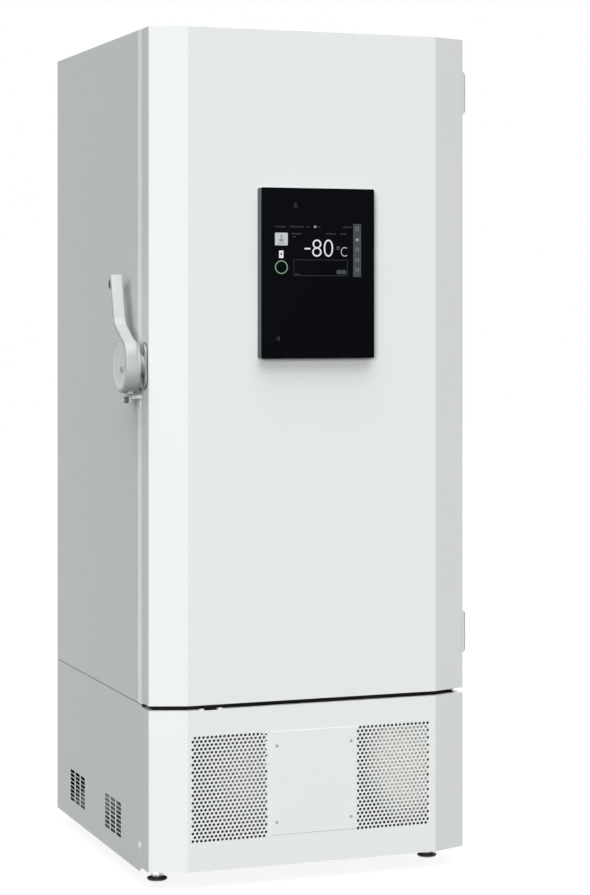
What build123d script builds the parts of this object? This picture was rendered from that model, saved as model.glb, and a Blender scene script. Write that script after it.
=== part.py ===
# Ultra low temperature freezer: an upright cabinet on a machine compartment, with a latched outer door
# and two inner doors. Millimetres, +Z up, the front faces -Y. Sizes below are worked out about the middle
# of the cabinet's footprint, and the whole is moved at the end so that the origin is the middle of the
# base of everything, the latch and the display included.
import os
from math import atan2, cos, radians, sin, tan

from build123d import *

# Cabinet
WIDTH = 790
DEPTH = 882
HEIGHT = 1993
HALF = WIDTH / 2
FRONT = -DEPTH / 2
BACK = DEPTH / 2
CHAMFER_WIDTH = 85  # across the front, at each side
CHAMFER_DEPTH = 31
EDGE_RADIUS = 5
SKIN = 1.2  # painted steel of the cabinet and the door
MACHINE_TOP = 420  # top of the machine compartment's panels
SEAM = 2
CABINET_BOTTOM = MACHINE_TOP + SEAM

# Chamber
CHAMBER_WIDTH = 630
CHAMBER_DEPTH = 600  # behind the inner doors
CHAMBER_HEIGHT = 1400
FLOOR_WALL = 83
LINER = 1
LINER_RADIUS = 20  # of the upright rear corners, outside
CHAMBER_HALF = CHAMBER_WIDTH / 2
CHAMBER_FLOOR = CABINET_BOTTOM + FLOOR_WALL
CHAMBER_TOP = CHAMBER_FLOOR + CHAMBER_HEIGHT
CHAMBER_MIDDLE = (CHAMBER_FLOOR + CHAMBER_TOP) / 2
VACUUM_PANEL = 25
VACUUM_PANEL_MARGIN = 45

# Outer door
DOOR_THICKNESS = 91
DOOR_BOTTOM = MACHINE_TOP + 6
DOOR_GAP = 2  # between the door's rear edge and the front frame
DOOR_REAR = FRONT + DOOR_THICKNESS
FRAME_FACE = DOOR_REAR + DOOR_GAP
FRAME_DEPTH = 26
SHELL_FRONT = FRAME_FACE + FRAME_DEPTH
DOOR_LINER = 2
RIM_RECESS = 12  # the door liner's rim lies this far inside the skin's rear edge
PLUG_CLEARANCE = 12
PLUG_CORNER = 6
PLUG_REACH = 20  # the plug stands this far into the opening past the frame's face
PLUG_HALF = CHAMBER_HALF - PLUG_CLEARANCE
PLUG_BOTTOM = CHAMBER_FLOOR + PLUG_CLEARANCE
PLUG_TOP = CHAMBER_TOP - PLUG_CLEARANCE
PLUG_FACE = FRAME_FACE + PLUG_REACH
RIM_FACE = DOOR_REAR - RIM_RECESS
GASKET_WIDTH = 28
GASKET_OFFSET = 30  # from the plug to the gasket

# Inner doors
INNER_GAP = 12  # from the plug to an inner door
INNER_DOOR = 32
INNER_CLEARANCE = 4
INNER_GASKET = 8
INNER_FRAME_DEPTH = 20
INNER_FRAME_WIDTH = 16
INNER_FRONT = PLUG_FACE + INNER_GAP
INNER_REAR = INNER_FRONT + INNER_DOOR
INNER_STOP = INNER_REAR + INNER_GASKET
CHAMBER_BACK = INNER_REAR + CHAMBER_DEPTH
INNER_HINGE_X = CHAMBER_HALF - 7
INNER_HINGE_Y = INNER_FRONT - 5.5
INNER_KNUCKLE_RADIUS = 4.5
INNER_KNUCKLE_LENGTH = 30
INNER_PIN_RADIUS = 2
INNER_HINGE_INSET = 90  # from an inner door's end to the middle of a hinge
INNER_LEAF = 2
INNER_LEAF_WIDTH = 34
INNER_ARM = 4
INNER_DOOR_RADIUS = 3
CATCH_X = 30 - CHAMBER_HALF
CATCH_HUB_RADIUS = 9
CATCH_REACH = 24
CATCH_THICKNESS = 5
CATCH_PIN_RADIUS = 3
CATCH_PIN_DEPTH = 10
CATCH_TONGUE = 10
CATCH_GRIP = 8
CATCH_AIR = 2

# Shelves
SHELF_COUNT = 3
SHELF_SHEET = 1.5
SHELF_LIP = 20
SHELF_DEPTH = 548
SHELF_SIDE_CLEARANCE = 6
PILASTER_WIDTH = 20
PILASTER_SHEET = 2
PILASTER_END = 25
PILASTER_PITCH = 50
PILASTER_SLOT = (6, 12)  # width, height
PILASTER_INSET = 40  # from the shelf's front and rear
CLIP_REACH = 14
CLIP_WIDTH = 12
CLIP_CHAMFER = 7
SHELF_SETBACK = 8  # behind the inner frame
CLIP_HEIGHT = 12
SHELF_FRONT = INNER_STOP + INNER_FRAME_DEPTH + SHELF_SETBACK

# Hinges of the outer door
HINGE_X = HALF + 9
HINGE_Y = FRAME_FACE + 8
HINGE_HEIGHT = 101
HINGE_CENTRES = (DOOR_BOTTOM + 134.5, HEIGHT - 128)
KNUCKLE_RADIUS = 8.5
DOOR_KNUCKLE = 52
KNUCKLE_GAP = 0.5
HINGE_PIN_RADIUS = 4
RUN_FIT = 0.05  # radial, of everything that turns
LEAF_THICKNESS = 11
LEAF_START = 35  # behind the door's front
LEAF_CHAMFER = 7
NECK_OVERLAP = 6  # the leaf's neck reaches this far into its plate
BRACKET_BASE = (4, 46)  # thickness, length
BRACKET_WEB = 10
PIN_HEAD = (6, 3)  # radius, height

# Latch, on the left side of the door
HUB_Y = FRONT + 61
HUB_Z = DOOR_BOTTOM + 784
ESCUTCHEON = 7
ESCUTCHEON_WIDTH = 48
ESCUTCHEON_HEIGHT = 110
ESCUTCHEON_EDGE = 2.5
SPINDLE_RADIUS = 14
SPINDLE_END = 45  # from the side of the door
NECK_RADIUS = 26
DRUM_RADIUS = 62
DRUM_INNER = 25
DRUM_EDGE = 5
LATCH_OUTER = 62
CAP_RADIUS = 55
CAP_THICKNESS = 2.5
LEVER_WIDTH = 27
LEVER_THICKNESS = 12
BAND = DRUM_RADIUS - LEVER_THICKNESS / 2  # the band leaves the drum flush with its rim
LEVER_ROUTE = ((-BAND, -5), (-BAND, 44), (44, 95), (76, 211))  # forward or back of the hub, and above it
LEVER_POINTS = [(HUB_Y + back, HUB_Z + rise) for back, rise in LEVER_ROUTE]
LEVER_BENDS = (38, 45)
BUMPER_RADIUS = 11
BUMPER_DROP = 18  # from the lever's tip
BUMPER_SEAT = 2  # cut flat against the lever
BUMPER_INSET = 1
LOCK_RADIUS = 8
LOCK_DEPTH = 12
LOCK_Y = HUB_Y - 18
LOCK_Z = HUB_Z - 7
KEYWAY = (6, 1.6, 7)  # depth, width, height
CLAW_RADIUS = 68
CLAW_ROOT = 4  # into the drum
CLAW_ANGLES = (250, 310)
STRIKE_SHEET = 3
STRIKE_Z = HUB_Z - 72
STRIKE_HEIGHT = 8
STRIKE_Y = HUB_Y + 16
STRIKE_REACH = 35
STRIKE_BASE = 2
STRIKE_BASE_Z = (STRIKE_Z - 24, STRIKE_Z + 22)
STRIKE_MARGIN = 2  # inside the front frame's side
STRIKE_ARM = 4
EAR_HALF = 6
ROLLER_RADIUS = 7.5
ROLLER_DROP = 7
ROLLER_WIDTH = 9
ROLLER_EDGE = 2
ROLLER_PIN_RADIUS = 3
ROLLER_PIN_END = 1
CLAW_AIR = 1

# Display
DISPLAY_WIDTH = 281
DISPLAY_HEIGHT = 398
DISPLAY_Z = DOOR_BOTTOM + 999
DISPLAY_DEPTH = 29
DISPLAY_WALL = 3
DISPLAY_GLASS = 3
DISPLAY_RADIUS = 4
GLASS_BEVEL = 0.6
SCREEN_MODULE = (230, 170, 6)

# Machine compartment
SIDE_PANEL_BOTTOM = 30
SIDE_NOTCH = (16, 9)  # at the front lower corner: length, height
FRONT_PANEL_BOTTOM = 42
FRONT_PANEL_TOP = MACHINE_TOP - 5
PANEL_SHEET = 1.5
PANEL_FLANGE = 14
PANEL_REAR = DOOR_REAR - 2
SIDE_PANEL_FRONT = PANEL_REAR + 0.5
PAN_UNDER = 72
PAN_SHEET = 3
POST = 30
POST_OVERLAP = 4  # the front posts reach this far behind the front panel's rear edge
RAIL_HEIGHT = 25

# Perforated fields of the front panel, with the holes in staggered rows
COVER_HALF = 108
GRILLE_OUTER = HALF - CHAMFER_WIDTH - 12
GRILLE_WIDTH = 179
GRILLE_STARTS = (-GRILLE_OUTER, COVER_HALF + 3)  # the left end of each field
GRILLE_BOTTOM = FRONT_PANEL_BOTTOM + 68
GRILLE_TOP = FRONT_PANEL_TOP - 61
HOLE_PITCH = 10.2
HOLE_RADIUS = 3.4
GRILLE_MARGIN = HOLE_RADIUS + 1
NOTCH_X = 141 - HALF
NOTCH_WIDTH = 34
NOTCH_DEPTH = 1.5
NOTCH_TAB = (11, 3)  # a raised tab on each side of the notch: width, height
COVER_BOTTOM = GRILLE_BOTTOM + 3
COVER_TOP = GRILLE_TOP
COVER_PROUD = 1
COVER_CORNER = 4
COVER_EDGE = 0.4
SCREW_X = COVER_HALF - 15
SCREW_HEIGHTS = (COVER_BOTTOM + 29, COVER_TOP - 33)
SCREW_RADIUS = 4
SCREW_HEAD = 1.2
SCREW_SHANK_RADIUS = 2
SCREW_SHANK = 8

# Slots of the side panels and the rear panel
SLOT_LENGTH = 42
SLOT_HEIGHT = 8.2
SLOT_PITCH_Y = 51
SLOT_COLUMNS = 3
SLOT_ROWS = 8
SLOT_GROUPS = ((BACK - 543.5, 116, 10.7), (BACK - 207.5, 116.5, 10.2))  # middle Y, middle Z, pitch of rows
REAR_SLOT_LENGTH = 90
REAR_SLOT_PITCH_X = 110
REAR_SLOT_COLUMNS = 6
REAR_SLOT_ROWS = 9
REAR_SLOT_PITCH = 14
REAR_SLOT_Z = 150
SIDE_PLUG_RADIUS = 9
SIDE_PLUG_HEAD = 1.5
SIDE_PLUG_STEM = 7
SIDE_PLUG_Y = SIDE_PANEL_FRONT + 17.5
SIDE_PLUG_Z = SIDE_PANEL_BOTTOM + 60
SPACER_RADIUS = 16
SPACER_LENGTH = 15
SPACER_X = HALF - 95
SPACER_Z = HEIGHT - 193

# Refrigeration, one circuit on each side
CIRCUIT_X = GRILLE_OUTER - 93
CONDENSER_WIDTH = 180
CONDENSER_HEIGHT = 240
CONDENSER_BOTTOM = 105
CONDENSER_DEPTH = 44
CONDENSER_FRONT = FRONT + 23
FIN_PITCH = 6
FIN_SHEET = 0.8
CONDENSER_SPINE = 10
STAND_SHEET = 4
FILTER_DEPTH = 8
FILTER_WEB = 1.5
FILTER_RIM = 10
SHROUD_SHEET = 3
SHROUD_COLLAR = 18
FAN_RADIUS = 84
FAN_TIP_GAP = 4
FAN_HUB_RADIUS = 26
FAN_BLADES = 5
FAN_BLADE_SHEET = 2.4
FAN_BLADE_PITCH = 28
FAN_DEPTH = 16
FAN_AIR = 3  # behind the condenser
FAN_HUB_EDGE = 3
BLADE_CHORD = 28
BLADE_ROOT = 4  # into the hub
MOTOR_RADIUS = 34
MOTOR_LENGTH = 52
MOTOR_AIR = 4
MOTOR_EDGE = 4
SHAFT_SEAT = 6  # the shaft starts inside the motor
STRUT_ROOT = 2  # into the motor's seat
MOTOR_SHAFT_RADIUS = 4
STRUT = 6
COMPRESSOR_Y = 70
COMPRESSOR_RADIUS = 85
COMPRESSOR_HEIGHT = 190
COMPRESSOR_WALL = 4
COMPRESSOR_FEET = (105, 80)  # half length and half depth of the foot plate
TERMINAL_BOX = (60, 40, 60)
TERMINAL_PROUD = 16
COMPRESSOR_DOME = 45
PORT_X = 28  # the pipes leave the compressor's flat top here, beside and before its middle
PORT_Y = 18
GROMMET_RADIUS = 12
GROMMET_HEIGHT = 14
PIPE_RADIUS = 4.5
PIPE_BEND = 22
DRIER_RADIUS = 14
DRIER_LENGTH = 90
DRIER_OFFSET = 200  # behind the compressor's middle
SUCTION_OFFSET = 180
RISER_INSET = 60  # before the back
LINE_RISE = 60  # above the compressor's top
LINE_INSET = 25  # inside the condenser's ends
LINE_OFFSET = 42.5  # outside the condenser's side
COIL_PIPE = 4
COIL_PITCH = 88
COIL_PASSES = 7
COIL_FRONT = SHELL_FRONT + 142
COIL_CLEARANCE = 0.4
COIL_BEND = LINER_RADIUS + COIL_CLEARANCE + COIL_PIPE
ELECTRICAL_BOX = (300, 120, 150)
ELECTRICAL_BOX_Z = MACHINE_TOP - 100
INLET_X = HALF - 135
INLET_Z = MACHINE_TOP - 80
INLET_RADIUS = 14
INLET_THREAD = 10
INLET_BORE = 5
INLET_LENGTHS = (20, 12)  # inside and outside the rear panel's face
ELECTRICAL_BOX_RADIUS = 3

# Feet and casters
FOOT_X = HALF - 51
FOOT_Y = FRONT + 134
FOOT_RADIUS = 24
FOOT_PAD = 9
FOOT_STEM_RADIUS = 6
FOOT_NUT = 8  # half of the nut across its flats
FOOT_NUT_HEIGHT = 12
FOOT_FLARE = 25
FOOT_STEM_SPARE = 6
FOOT_BOSS_RADIUS = 14
FOOT_BOSS = 16
FOOT_TRAVEL = 10
CASTER_X = HALF - 110
CASTER_YS = (FRONT + 206, BACK - 81)
CASTER_TRAIL = 18
WHEEL_RADIUS = 25
WHEEL_WIDTH = 20
AXLE_RADIUS = 4
FRONT_WHEEL_LIFT = 2
SPIGOT_RADIUS = 8
FORK_RADIUS = 20
FORK_CROWN = 12
FORK_GAP = 1
FORK_SHEET = 3
FORK_EYE = 9
LEG_FRONT = 10  # where a leg meets the crown, before and behind the swivel's axis
LEG_REAR = 15
LEG_ROOT = 2
WHEEL_EDGE = 3

# The origin is the middle of the base of everything that the freezer is
BARREL_SIDE = HINGE_X + KNUCKLE_RADIUS
LATCH_SIDE = -HALF - LATCH_OUTER
SHIFT_X = -(BARREL_SIDE + LATCH_SIDE) / 2
SHIFT_Y = -(BACK + SPACER_LENGTH + FRONT - DISPLAY_DEPTH) / 2
PLACE = Pos(SHIFT_X, SHIFT_Y, 0)

os.makedirs("parts", exist_ok=True)


def block(x_range, y_range, z_range):
    """A box between two values on each axis, given in either order."""
    low = [min(pair) for pair in (x_range, y_range, z_range)]
    size = [abs(pair[1] - pair[0]) for pair in (x_range, y_range, z_range)]
    centre = [start + length / 2 for start, length in zip(low, size)]
    return Pos(*centre) * Box(*size)


def rod(axis, centre, radius, start, end):
    """A cylinder along X, Y or Z, between two values on that axis; centre holds the two other values."""
    length = abs(end - start)
    middle = (start + end) / 2
    if axis == "X":
        return Pos(middle, *centre) * Rot(0, 90, 0) * Cylinder(radius, length)
    if axis == "Y":
        return Pos(centre[0], middle, centre[1]) * Rot(90, 0, 0) * Cylinder(radius, length)
    return Pos(*centre, middle) * Cylinder(radius, length)


def both_sides(shape):
    """The shape and its mirror image across the middle of the cabinet."""
    return [shape, mirror(shape, Plane.YZ)]


def write(name, shapes):
    """Writes one node from a solid or from a list of solids."""
    shapes = shapes if isinstance(shapes, (list, tuple)) else [shapes]
    solids = [PLACE * solid for shape in shapes for solid in shape.solids()]
    export_step(solids[0] if len(solids) == 1 else Compound(children=solids), f"parts/{name}.step")
    print(name, len(solids))


def front_plan(inset, rear):
    """The plan of the door and the front panel: flat front, two chamfers and straight sides to the rear."""
    turn = atan2(CHAMFER_DEPTH, CHAMFER_WIDTH)
    side = HALF - inset
    flat = HALF - CHAMFER_WIDTH - inset * tan(turn / 2)
    front = FRONT + inset
    corner = FRONT + CHAMFER_DEPTH + inset * tan((radians(90) - turn) / 2)
    outline = [(-side, rear), (-side, corner), (-flat, front), (flat, front), (side, corner), (side, rear)]
    face = make_face(Polyline(*outline, close=True))
    radius = max(EDGE_RADIUS - inset, SKIN)
    bends = [v for v in face.vertices() if v.Y < rear - EDGE_RADIUS]
    return fillet(bends, radius)


def front_prism(inset, rear, bottom, top):
    return Pos(0, 0, bottom) * extrude(front_plan(inset, rear), top - bottom)


def frame_bars(outer, inner, y_range):
    """Four bars round an opening; outer and inner are (half width, bottom, top)."""
    side = block((inner[0], outer[0]), y_range, (outer[1], outer[2]))
    bottom = block((-inner[0], inner[0]), y_range, (outer[1], inner[1]))
    top = block((-inner[0], inner[0]), y_range, (inner[2], outer[2]))
    return both_sides(side) + [bottom, top]


def ring(outer, inner, y_range):
    """A one-piece rectangular ring, given like the bars above."""
    full = block((-outer[0], outer[0]), y_range, (outer[1], outer[2]))
    return full - block((-inner[0], inner[0]), y_range, (inner[1], inner[2]))


def cabinet():
    """Shell, front frame, foam slabs, vacuum panels and the chamber's liner."""
    inner_half = HALF - SKIN
    inner_back = BACK - SKIN
    inner_bottom = CABINET_BOTTOM + SKIN
    inner_top = HEIGHT - SKIN
    line_back = (SHELL_FRONT, CHAMBER_BACK + LINER)
    outer = block((-HALF, HALF), (SHELL_FRONT, BACK), (CABINET_BOTTOM, HEIGHT))
    cavity = block((-inner_half, inner_half), (SHELL_FRONT, inner_back), (inner_bottom, inner_top))
    shell = outer - cavity
    liner_half = CHAMBER_HALF + LINER
    liner_floor = CHAMBER_FLOOR - LINER
    liner_top = CHAMBER_TOP + LINER
    liner = block((-liner_half, liner_half), line_back, (liner_floor, liner_top))
    liner = fillet(liner.edges().filter_by(Axis.Z).group_by(Axis.Y)[-1], LINER_RADIUS)
    room = block((-CHAMBER_HALF, CHAMBER_HALF), (SHELL_FRONT, CHAMBER_BACK), (CHAMBER_FLOOR, CHAMBER_TOP))
    liner -= fillet(room.edges().filter_by(Axis.Z).group_by(Axis.Y)[-1], LINER_RADIUS - LINER)
    deep = (SHELL_FRONT, inner_back)
    slabs = {
        "right": block((liner_half, inner_half), deep, (inner_bottom, inner_top)),
        "top": block((-liner_half, liner_half), deep, (liner_top, inner_top)),
        "bottom": block((-liner_half, liner_half), deep, (inner_bottom, liner_floor)),
        "back": block((-liner_half, liner_half), (line_back[1], inner_back), (liner_floor, liner_top)),
    }
    margin = VACUUM_PANEL_MARGIN
    across = (-liner_half + margin, liner_half - margin)
    along = (SHELL_FRONT + margin, inner_back - margin)
    upright = (inner_bottom + margin, inner_top - margin)
    panels = {
        "right": block((inner_half - VACUUM_PANEL, inner_half), along, upright),
        "top": block(across, along, (inner_top - VACUUM_PANEL, inner_top)),
        "bottom": block(across, along, (inner_bottom, inner_bottom + VACUUM_PANEL)),
        "back": block(across, (inner_back - VACUUM_PANEL, inner_back), upright),
    }
    panels["back"] &= slabs["back"]
    slabs = {side: slab - panels[side] for side, slab in slabs.items()}
    coils, grooves = evaporator(liner_half, line_back[1])
    slabs["right"] -= grooves
    slabs["back"] -= grooves
    left = mirror(slabs["right"], Plane.YZ)
    frame = frame_bars(
        (HALF, CABINET_BOTTOM, HEIGHT), (CHAMBER_HALF, CHAMBER_FLOOR, CHAMBER_TOP), (FRAME_FACE, SHELL_FRONT)
    )
    write("cabinet_shell", shell)
    write("front_frame", frame)
    write("chamber_liner", liner)
    write("cabinet_insulation", [left, *slabs.values()])
    write("vacuum_panels", [mirror(panels["right"], Plane.YZ), *panels.values()])
    write("evaporator_coils", coils)


def evaporator(liner_half, liner_back):
    """Two pipe coils on the liner, one above the other, and the grooves that they lie in."""
    radius = COIL_PIPE
    reach = liner_half + radius + COIL_CLEARANCE
    rear = liner_back + radius + COIL_CLEARANCE
    depth = 2 * (radius + COIL_CLEARANCE)
    coils = []
    grooves = []
    levels = [CHAMBER_MIDDLE + COIL_PITCH * (n - COIL_PASSES + 0.5) for n in range(2 * COIL_PASSES)]
    for circuit in (levels[:COIL_PASSES], levels[COIL_PASSES:]):
        points = []
        side = -1
        for z in circuit:
            corners = [(side * reach, COIL_FRONT), (side * reach, rear), (-side * reach, rear)]
            points += [(x, y, z) for x, y in [*corners, (-side * reach, COIL_FRONT)]]
            side = -side
        path = FilletPolyline(*points, radius=COIL_BEND)
        coils.append(sweep(Plane(origin=path @ 0, z_dir=path % 0) * Circle(radius), path))
        rise = (circuit[0] - depth, circuit[-1] + depth)
        bends = (COIL_FRONT - depth, COIL_FRONT + COIL_BEND)
        grooves.append(block((liner_half, liner_half + depth), bends, rise))
    for z in levels:
        high = (z - depth / 2, z + depth / 2)
        grooves.append(block((liner_half, liner_half + depth), (COIL_FRONT - depth, rear + depth), high))
        grooves.append(block((-liner_half, liner_half), (liner_back, liner_back + depth), high))
    return coils, grooves


def chamber():
    """Inner frame with its crossbar, shelf supports and shelves."""
    y_range = (INNER_STOP, INNER_STOP + INNER_FRAME_DEPTH)
    width = INNER_FRAME_WIDTH
    inner = (CHAMBER_HALF - width, CHAMBER_FLOOR + width, CHAMBER_TOP - width)
    bars = frame_bars((CHAMBER_HALF, CHAMBER_FLOOR, CHAMBER_TOP), inner, y_range)
    crossbar = (CHAMBER_MIDDLE - INNER_FRAME_WIDTH, CHAMBER_MIDDLE + INNER_FRAME_WIDTH)
    bars.append(block((-inner[0], inner[0]), y_range, crossbar))
    write("inner_frame", bars)

    pilaster = block(
        (CHAMBER_HALF - PILASTER_SHEET, CHAMBER_HALF),
        (-PILASTER_WIDTH / 2, PILASTER_WIDTH / 2),
        (CHAMBER_FLOOR + PILASTER_END, CHAMBER_TOP - PILASTER_END),
    )
    slots = int((CHAMBER_HEIGHT - 4 * PILASTER_END) / PILASTER_PITCH)
    slot = Pos(CHAMBER_HALF - PILASTER_SHEET / 2, 0, 0) * Box(PILASTER_SHEET, *PILASTER_SLOT)
    room = CHAMBER_HEIGHT / (SHELF_COUNT + 1)
    shelf_heights = [CHAMBER_FLOOR + room * n for n in range(1, SHELF_COUNT + 1)]
    holes = [Pos(0, 0, CHAMBER_MIDDLE + PILASTER_PITCH * (n - slots / 2 + 0.25)) * slot for n in range(slots)]
    pilaster -= holes
    supports = []
    inside = CHAMBER_HALF - PILASTER_SHEET
    for y in (SHELF_FRONT + PILASTER_INSET, SHELF_FRONT + SHELF_DEPTH - PILASTER_INSET):
        supports += both_sides(Pos(0, y, 0) * pilaster)
        for top in shelf_heights:
            under = top - SHELF_SHEET
            clip_y = (y - CLIP_WIDTH / 2, y + CLIP_WIDTH / 2)
            clip = block((inside - CLIP_REACH, inside), clip_y, (under - CLIP_HEIGHT, under))
            edge = clip.edges().filter_by(Axis.Y).group_by(Axis.Z)[0].sort_by(Axis.X)[0]
            supports += both_sides(chamfer(edge, CLIP_CHAMFER))
    write("shelf_supports", supports)

    half = inside - SHELF_SIDE_CLEARANCE
    rear = SHELF_FRONT + SHELF_DEPTH
    shelves = []
    for top in shelf_heights:
        plate = block((-half, half), (SHELF_FRONT, rear), (top - SHELF_SHEET, top))
        lip_z = (top - SHELF_LIP, top)
        front_lip = block((-half, half), (SHELF_FRONT, SHELF_FRONT + SHELF_SHEET), lip_z)
        rear_lip = block((-half, half), (rear - SHELF_SHEET, rear), lip_z)
        shelves.append(plate + front_lip + rear_lip)
    write("shelves", shelves)


def inner_door(name, bottom, top):
    """One foam-filled inner door with its hinge leaves, its gasket and its catch."""
    half = CHAMBER_HALF - INNER_CLEARANCE
    panel = block((-half, half), (INNER_FRONT, INNER_REAR), (bottom, top))
    panel = fillet(panel.edges().filter_by(Axis.Z), INNER_DOOR_RADIUS)
    middle = (bottom + top) / 2
    for z in (bottom + INNER_HINGE_INSET, top - INNER_HINGE_INSET):
        high = (z - INNER_KNUCKLE_LENGTH / 2, z + INNER_KNUCKLE_LENGTH / 2)
        leaf_x = (INNER_HINGE_X - INNER_LEAF_WIDTH, INNER_HINGE_X)
        leaf = block(leaf_x, (INNER_FRONT - INNER_LEAF, INNER_FRONT), high)
        knuckle = rod("Z", (INNER_HINGE_X, INNER_HINGE_Y), INNER_KNUCKLE_RADIUS, *high)
        bore = rod("Z", (INNER_HINGE_X, INNER_HINGE_Y), INNER_PIN_RADIUS + RUN_FIT, *high)
        panel = panel + leaf + knuckle - bore
    pin_start = INNER_FRONT - CATCH_AIR - CATCH_THICKNESS
    panel += rod("Y", (CATCH_X, middle), CATCH_PIN_RADIUS, pin_start, INNER_FRONT + CATCH_PIN_DEPTH)
    lip = INNER_FRAME_WIDTH - INNER_CLEARANCE
    gasket = ring((half, bottom, top), (half - lip, bottom + lip, top - lip), (INNER_REAR, INNER_STOP))
    near = INNER_FRONT - CATCH_AIR
    y_range = (near - CATCH_THICKNESS, near)
    catch = rod("Y", (CATCH_X, middle), CATCH_HUB_RADIUS, *y_range)
    tongue = (middle - CATCH_TONGUE / 2, middle + CATCH_TONGUE / 2)
    grip = (middle - CATCH_GRIP / 2, middle + CATCH_GRIP / 2)
    catch += block((CATCH_X - CATCH_REACH, CATCH_X), y_range, tongue)
    catch += block((CATCH_X, CATCH_X + CATCH_REACH), y_range, grip)
    catch -= rod("Y", (CATCH_X, middle), CATCH_PIN_RADIUS + RUN_FIT, *y_range)
    write(f"inner_door_{name}", panel)
    write(f"inner_gasket_{name}", gasket)
    write(f"inner_catch_{name}", catch)
    return [bottom + INNER_HINGE_INSET, top - INNER_HINGE_INSET]


def inner_doors():
    split = INNER_CLEARANCE / 2
    heights = inner_door("lower", CHAMBER_FLOOR + INNER_CLEARANCE, CHAMBER_MIDDLE - split)
    heights += inner_door("upper", CHAMBER_MIDDLE + split, CHAMBER_TOP - INNER_CLEARANCE)
    hinges = []
    for z in heights:
        start = z + INNER_KNUCKLE_LENGTH / 2 + KNUCKLE_GAP
        high = (start, start + INNER_KNUCKLE_LENGTH / 2)
        arm_y = (INNER_HINGE_Y - INNER_ARM / 2, INNER_HINGE_Y + INNER_ARM / 2)
        arm = block((INNER_HINGE_X, CHAMBER_HALF), arm_y, high)
        knuckle = rod("Z", (INNER_HINGE_X, INNER_HINGE_Y), INNER_KNUCKLE_RADIUS, *high)
        pin_low = z - INNER_KNUCKLE_LENGTH / 2 - KNUCKLE_GAP
        pin = rod("Z", (INNER_HINGE_X, INNER_HINGE_Y), INNER_PIN_RADIUS, pin_low, high[1])
        hinges.append(arm + knuckle + pin)
    return hinges


def outer_door():
    """Skin, foam, liner with its plug, gasket, and the display on the front."""
    inner_top = HEIGHT - SKIN
    inner_bottom = DOOR_BOTTOM + SKIN
    skin = front_prism(0, DOOR_REAR, DOOR_BOTTOM, HEIGHT)
    skin -= front_prism(SKIN, DOOR_REAR, inner_bottom, inner_top)
    rim_front = RIM_FACE - DOOR_LINER
    rim = block((-HALF + SKIN, HALF - SKIN), (rim_front, RIM_FACE), (inner_bottom, inner_top))
    plug = block((-PLUG_HALF, PLUG_HALF), (rim_front, PLUG_FACE), (PLUG_BOTTOM, PLUG_TOP))
    plug = fillet(plug.edges().filter_by(Axis.Y) + plug.faces().sort_by(Axis.Y)[-1].edges(), PLUG_CORNER)
    filling = block(
        (-PLUG_HALF + DOOR_LINER, PLUG_HALF - DOOR_LINER),
        (rim_front, PLUG_FACE - DOOR_LINER),
        (PLUG_BOTTOM + DOOR_LINER, PLUG_TOP - DOOR_LINER),
    )
    filling_edges = filling.edges().filter_by(Axis.Y) + filling.faces().sort_by(Axis.Y)[-1].edges()
    filling = fillet(filling_edges, PLUG_CORNER - DOOR_LINER)
    liner = rim + plug - filling
    foam = front_prism(SKIN, rim_front, inner_bottom, inner_top) + filling
    outer = (PLUG_HALF + GASKET_OFFSET + GASKET_WIDTH, PLUG_BOTTOM - GASKET_OFFSET, PLUG_TOP + GASKET_OFFSET)
    inner = (outer[0] - GASKET_WIDTH, outer[1] + GASKET_WIDTH, outer[2] - GASKET_WIDTH)
    gasket = ring(outer, inner, (RIM_FACE, FRAME_FACE))
    write("door_skin", skin)
    write("door_insulation", foam)
    write("door_liner", liner)
    write("door_gasket", gasket)

    height = (DISPLAY_Z - DISPLAY_HEIGHT / 2, DISPLAY_Z + DISPLAY_HEIGHT / 2)
    width = (-DISPLAY_WIDTH / 2, DISPLAY_WIDTH / 2)
    glass_rear = FRONT - DISPLAY_DEPTH + DISPLAY_GLASS
    housing = block(width, (glass_rear, FRONT), height)
    housing = fillet(housing.edges().filter_by(Axis.Y), DISPLAY_RADIUS)
    pocket = block(
        (width[0] + DISPLAY_WALL, width[1] - DISPLAY_WALL),
        (glass_rear, FRONT - DISPLAY_WALL),
        (height[0] + DISPLAY_WALL, height[1] - DISPLAY_WALL),
    )
    glass = block(width, (FRONT - DISPLAY_DEPTH, glass_rear), height)
    glass = fillet(glass.edges().filter_by(Axis.Y), DISPLAY_RADIUS)
    glass = chamfer(glass.faces().sort_by(Axis.Y)[0].edges(), GLASS_BEVEL)
    module = block(
        (-SCREEN_MODULE[0] / 2, SCREEN_MODULE[0] / 2),
        (glass_rear, glass_rear + SCREEN_MODULE[2]),
        (DISPLAY_Z - SCREEN_MODULE[1] / 2, DISPLAY_Z + SCREEN_MODULE[1] / 2),
    )
    write("display_housing", [housing - pocket, module])
    write("display_glass", glass)


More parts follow.
